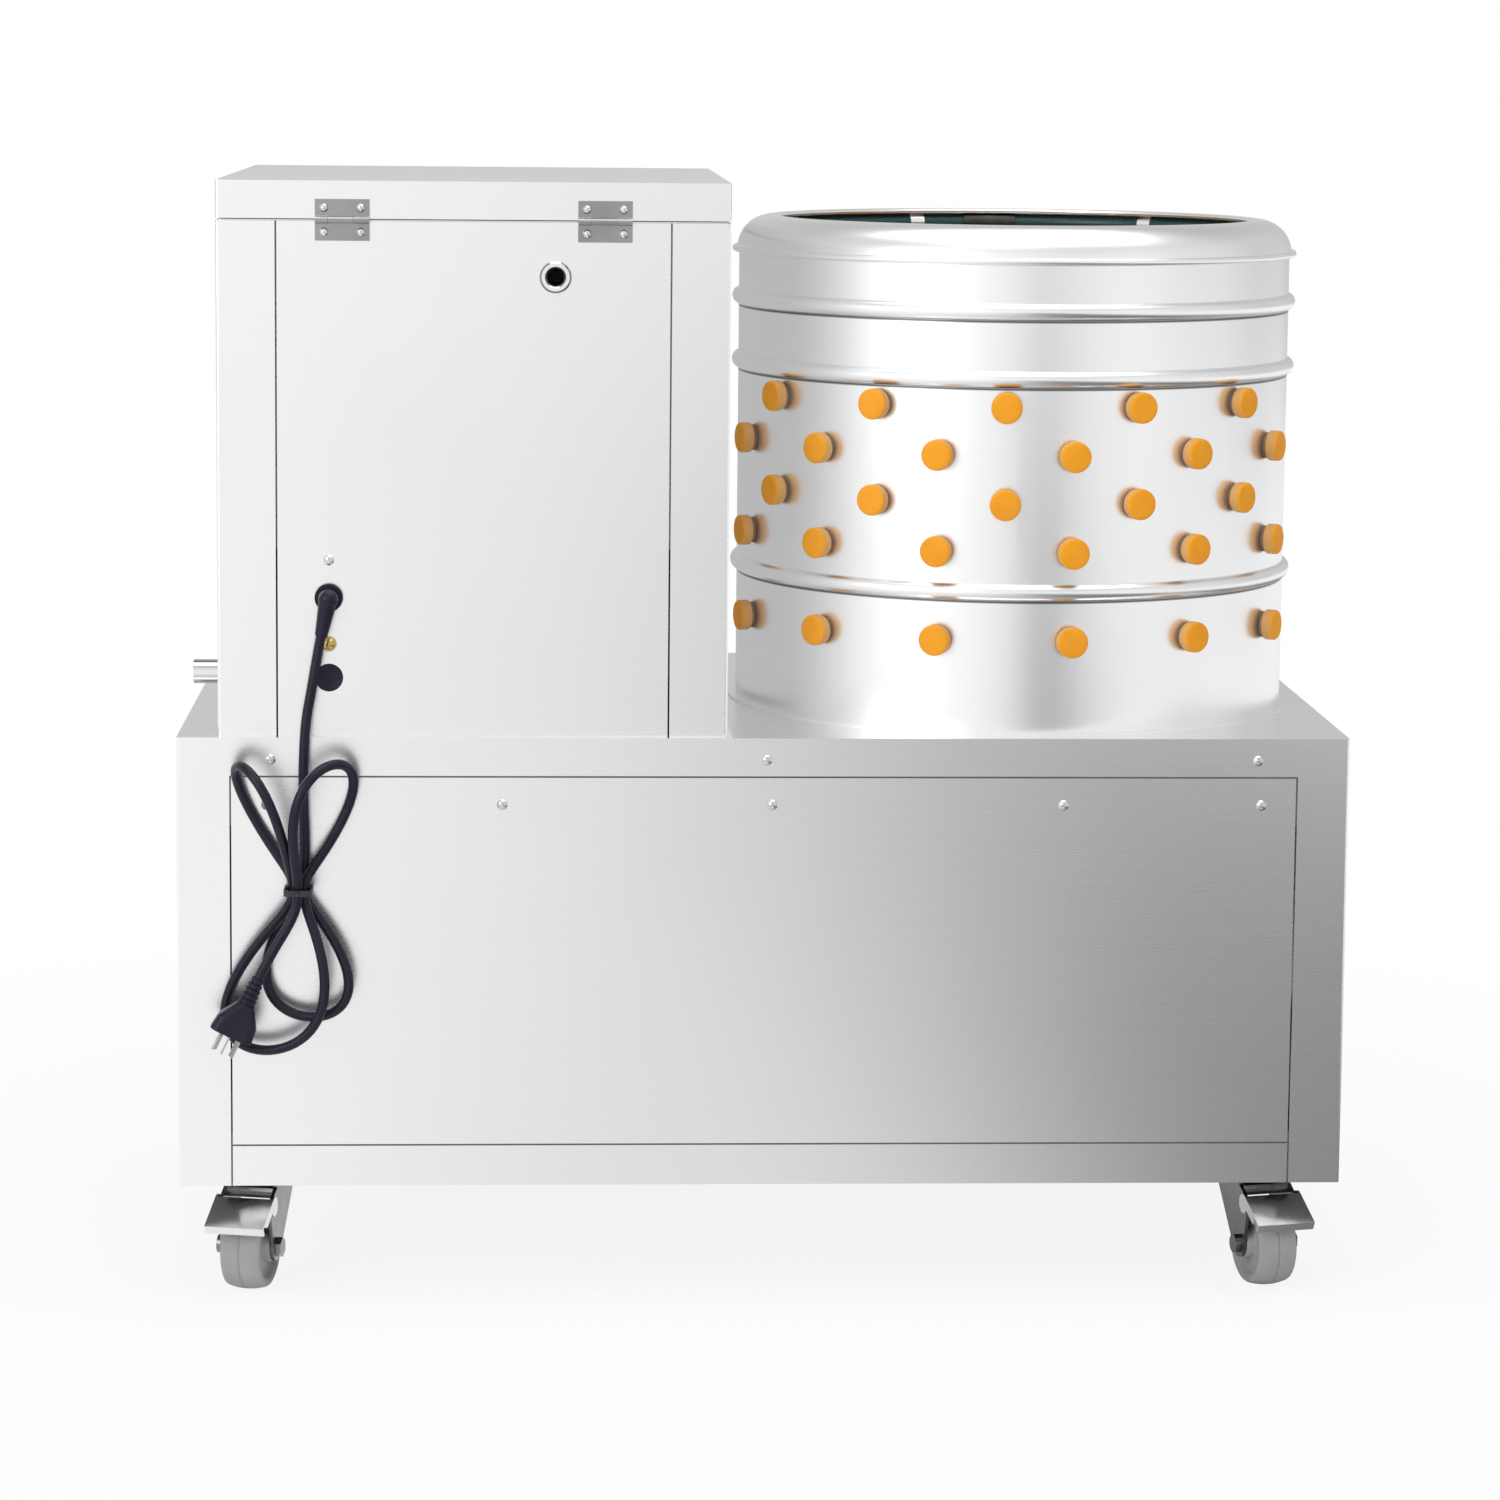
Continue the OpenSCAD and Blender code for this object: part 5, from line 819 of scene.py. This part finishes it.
# Brightness of the sky along each axis of its direction
SKY_TONES = {
    "X": [(0.0, 0.8), (0.2, 1.0), (0.5, 1.0), (0.64, 0.9), (0.85, 1.0), (1.0, 0.8)],
    "Y": [(0.0, 1.0), (0.5, 1.0), (0.75, 0.7), (1.0, 0.62)],
    "Z": [(0.0, 1.0), (0.56, 1.0), (0.68, 0.95), (0.86, 0.7), (1.0, 0.6)],
}
SKY_DIFFUSE = 0.76
# Brightness of the floor from left to right as metal reflects it
FLOOR_TONES = [(0.0, 1.0), (0.37, 1.0), (0.5, 0.79), (0.64, 0.22), (0.77, 0.15), (0.92, 0.9), (1.0, 1.0)]
FLOOR_TONES_HALF = 2.0
FLOOR_HALF = 9
FLOOR_GREY = 0.9
FLOOR_ROUGHNESS = 0.9
SHADOW_FADE = (0.5, 1.6)
SHADOW_VEIL = 0.88
CARD_X = -29.0
CARD_Z = (497.0, 925.0)
CARD_FADE = 150.0
CARD_GLOW = (0.95, 0.52)
LAMP_TARGET = (0, 0, 0.5)
LAMPS = {
    "left_softbox": {"place": (-2.3, -2.6, 1.7), "size": (1.6, 2.0), "power": 32},
    "overhead": {"place": (0.2, -0.4, 3.0), "size": (2.4, 2.4), "power": 40},
}


def seen_rays(tree):
    """Rays that come from the camera, straight or through something clear."""
    path = node(tree, "ShaderNodeLightPath")
    seen = node(tree, "ShaderNodeMath", operation="MAXIMUM")
    tree.links.new(path.outputs["Is Camera Ray"], seen.inputs[0])
    tree.links.new(path.outputs["Is Transmission Ray"], seen.inputs[1])
    return path, seen


def studio_world():
    """White to the camera. As a light it is a wide soft sky, dimmer overhead and beyond the machine."""
    world = bpy.data.worlds.new("studio")
    world.use_nodes = True
    bpy.context.scene.world = world
    tree = world.node_tree
    back = tree.nodes["Background"]
    back.inputs["Color"].default_value = (1, 1, 1, 1)
    place = node(tree, "ShaderNodeTexCoord")
    axes = node(tree, "ShaderNodeSeparateXYZ")
    path, seen = seen_rays(tree)
    level = node(tree, "ShaderNodeMapRange", {"To Min": SKY_DIFFUSE, "To Max": 1.0})
    strength = node(tree, "ShaderNodeMix", {"B": 1.0}, data_type="FLOAT")
    tree.links.new(place.outputs["Generated"], axes.inputs["Vector"])
    tree.links.new(path.outputs["Is Glossy Ray"], level.inputs["Value"])
    light = level.outputs["Result"]
    for axis, stops in SKY_TONES.items():
        along = node(tree, "ShaderNodeMapRange", {"From Min": -1.0})
        tone = node(tree, "ShaderNodeValToRGB")
        ramp_stops(tone, stops)
        toned = node(tree, "ShaderNodeMath", operation="MULTIPLY")
        tree.links.new(axes.outputs[axis], along.inputs["Value"])
        tree.links.new(along.outputs["Result"], tone.inputs["Fac"])
        tree.links.new(tone.outputs["Color"], toned.inputs[0])
        tree.links.new(light, toned.inputs[1])
        light = toned.outputs[0]
    tree.links.new(seen.outputs[0], strength.inputs["Factor"])
    tree.links.new(light, strength.inputs["A"])
    tree.links.new(strength.outputs["Result"], back.inputs["Strength"])


def studio_floor():
    """Pale floor that keeps the shadow near the machine and fades to white; metal sees its tones instead."""
    half = FLOOR_HALF
    mesh = bpy.data.meshes.new("floor")
    mesh.from_pydata([(-half, -half, 0), (half, -half, 0), (half, half, 0), (-half, half, 0)], [], [(0, 1, 2, 3)])
    floor = add_object("floor", mesh)
    finish, tree, shader = new_finish("pale_floor")
    shader.inputs["Base Color"].default_value = (FLOOR_GREY, FLOOR_GREY, FLOOR_GREY, 1)
    shader.inputs["Roughness"].default_value = FLOOR_ROUGHNESS
    shader.inputs["Specular IOR Level"].default_value = 0.0
    path, seen = seen_rays(tree)
    near, far = SHADOW_FADE
    place = node(tree, "ShaderNodeTexCoord")
    away = node(tree, "ShaderNodeVectorMath", operation="LENGTH")
    fade = node(tree, "ShaderNodeMapRange", {"From Min": near, "From Max": far, "To Min": SHADOW_VEIL},
                interpolation_type="SMOOTHSTEP")
    plain = node(tree, "ShaderNodeMath", operation="MULTIPLY")
    both = node(tree, "ShaderNodeMath", operation="MAXIMUM")
    axes = node(tree, "ShaderNodeSeparateXYZ")
    across = node(tree, "ShaderNodeMapRange", {"From Min": -FLOOR_TONES_HALF, "From Max": FLOOR_TONES_HALF})
    tone = node(tree, "ShaderNodeValToRGB")
    ramp_stops(tone, FLOOR_TONES)
    colour = node(tree, "ShaderNodeMix", {"A": (1, 1, 1, 1)}, data_type="RGBA")
    glow = node(tree, "ShaderNodeEmission")
    mix = node(tree, "ShaderNodeMixShader")
    tree.links.new(place.outputs["Object"], away.inputs[0])
    tree.links.new(away.outputs["Value"], fade.inputs["Value"])
    tree.links.new(seen.outputs[0], plain.inputs[0])
    tree.links.new(fade.outputs["Result"], plain.inputs[1])
    tree.links.new(plain.outputs[0], both.inputs[0])
    tree.links.new(path.outputs["Is Glossy Ray"], both.inputs[1])
    tree.links.new(place.outputs["Object"], axes.inputs["Vector"])
    tree.links.new(axes.outputs["X"], across.inputs["Value"])
    tree.links.new(across.outputs["Result"], tone.inputs["Fac"])
    tree.links.new(tone.outputs["Color"], colour.inputs["B"])
    tree.links.new(path.outputs["Is Glossy Ray"], colour.inputs["Factor"])
    tree.links.new(colour.outputs["Result"], glow.inputs["Color"])
    tree.links.new(both.outputs[0], mix.inputs["Fac"])
    tree.links.new(shader.outputs["BSDF"], mix.inputs[1])
    tree.links.new(glow.outputs["Emission"], mix.inputs[2])
    tree.links.new(mix.outputs["Shader"], tree.nodes["Material Output"].inputs["Surface"])
    mesh.materials.append(finish)


def reflector_card():
    """White card hidden between casing and drum, dimmer further in: only the metal sees it."""
    x = CARD_X * MM
    y0, y1 = CASING_REAR_Y * MM, CASING_FRONT_Y * MM
    z0, z1 = (z * MM for z in CARD_Z)
    mesh = bpy.data.meshes.new("reflector_card")
    mesh.from_pydata([(x, y0, z0), (x, y1, z0), (x, y1, z1), (x, y0, z1)], [], [(0, 1, 2, 3)])
    card = add_object("reflector_card", mesh)
    finish, tree, shader = new_finish("white_card")
    shader.inputs["Base Color"].default_value = (0, 0, 0, 1)
    shader.inputs["Specular IOR Level"].default_value = 0.0
    shader.inputs["Emission Color"].default_value = (1, 1, 1, 1)
    outer, inner = CARD_GLOW
    place = node(tree, "ShaderNodeTexCoord")
    axes = node(tree, "ShaderNodeSeparateXYZ")
    deep = node(tree, "ShaderNodeMapRange", {
        "From Min": y0, "From Max": y0 + CARD_FADE * MM, "To Min": outer, "To Max": inner,
    }, interpolation_type="SMOOTHSTEP")
    tree.links.new(place.outputs["Object"], axes.inputs["Vector"])
    tree.links.new(axes.outputs["Y"], deep.inputs["Value"])
    tree.links.new(deep.outputs["Result"], shader.inputs["Emission Strength"])
    mesh.materials.append(finish)
    card.visible_camera = False
    card.visible_diffuse = False
    card.visible_transmission = False
    card.visible_shadow = False


def lamp(name, place, size, power):
    light = bpy.data.lights.new(name, "AREA")
    light.shape = "RECTANGLE"
    light.size, light.size_y = size
    light.energy = power
    made = add_object(name, light)
    made.location = place
    made.rotation_euler = (Vector(LAMP_TARGET) - Vector(place)).to_track_quat("-Z", "Y").to_euler()


def studio():
    bpy.context.scene.view_settings.view_transform = "Standard"
    studio_world()
    studio_floor()
    reflector_card()
    for name, setting in LAMPS.items():
        lamp(name, **setting)


place_camera()
finishes = dress_machine()
make_lead(finishes["lead_rubber"])
make_fingers(finishes["finger_rubber"])
make_screws(finishes["zinc_plate"])
make_hinge_screws(finishes["zinc_plate"])
make_wheels(finishes["grey_tread"])
make_aprons(finishes["dark_zinc_painted_shade"])
make_disc(finishes["lead_rubber"])
make_pointer(finishes["zinc_plate"])
studio()
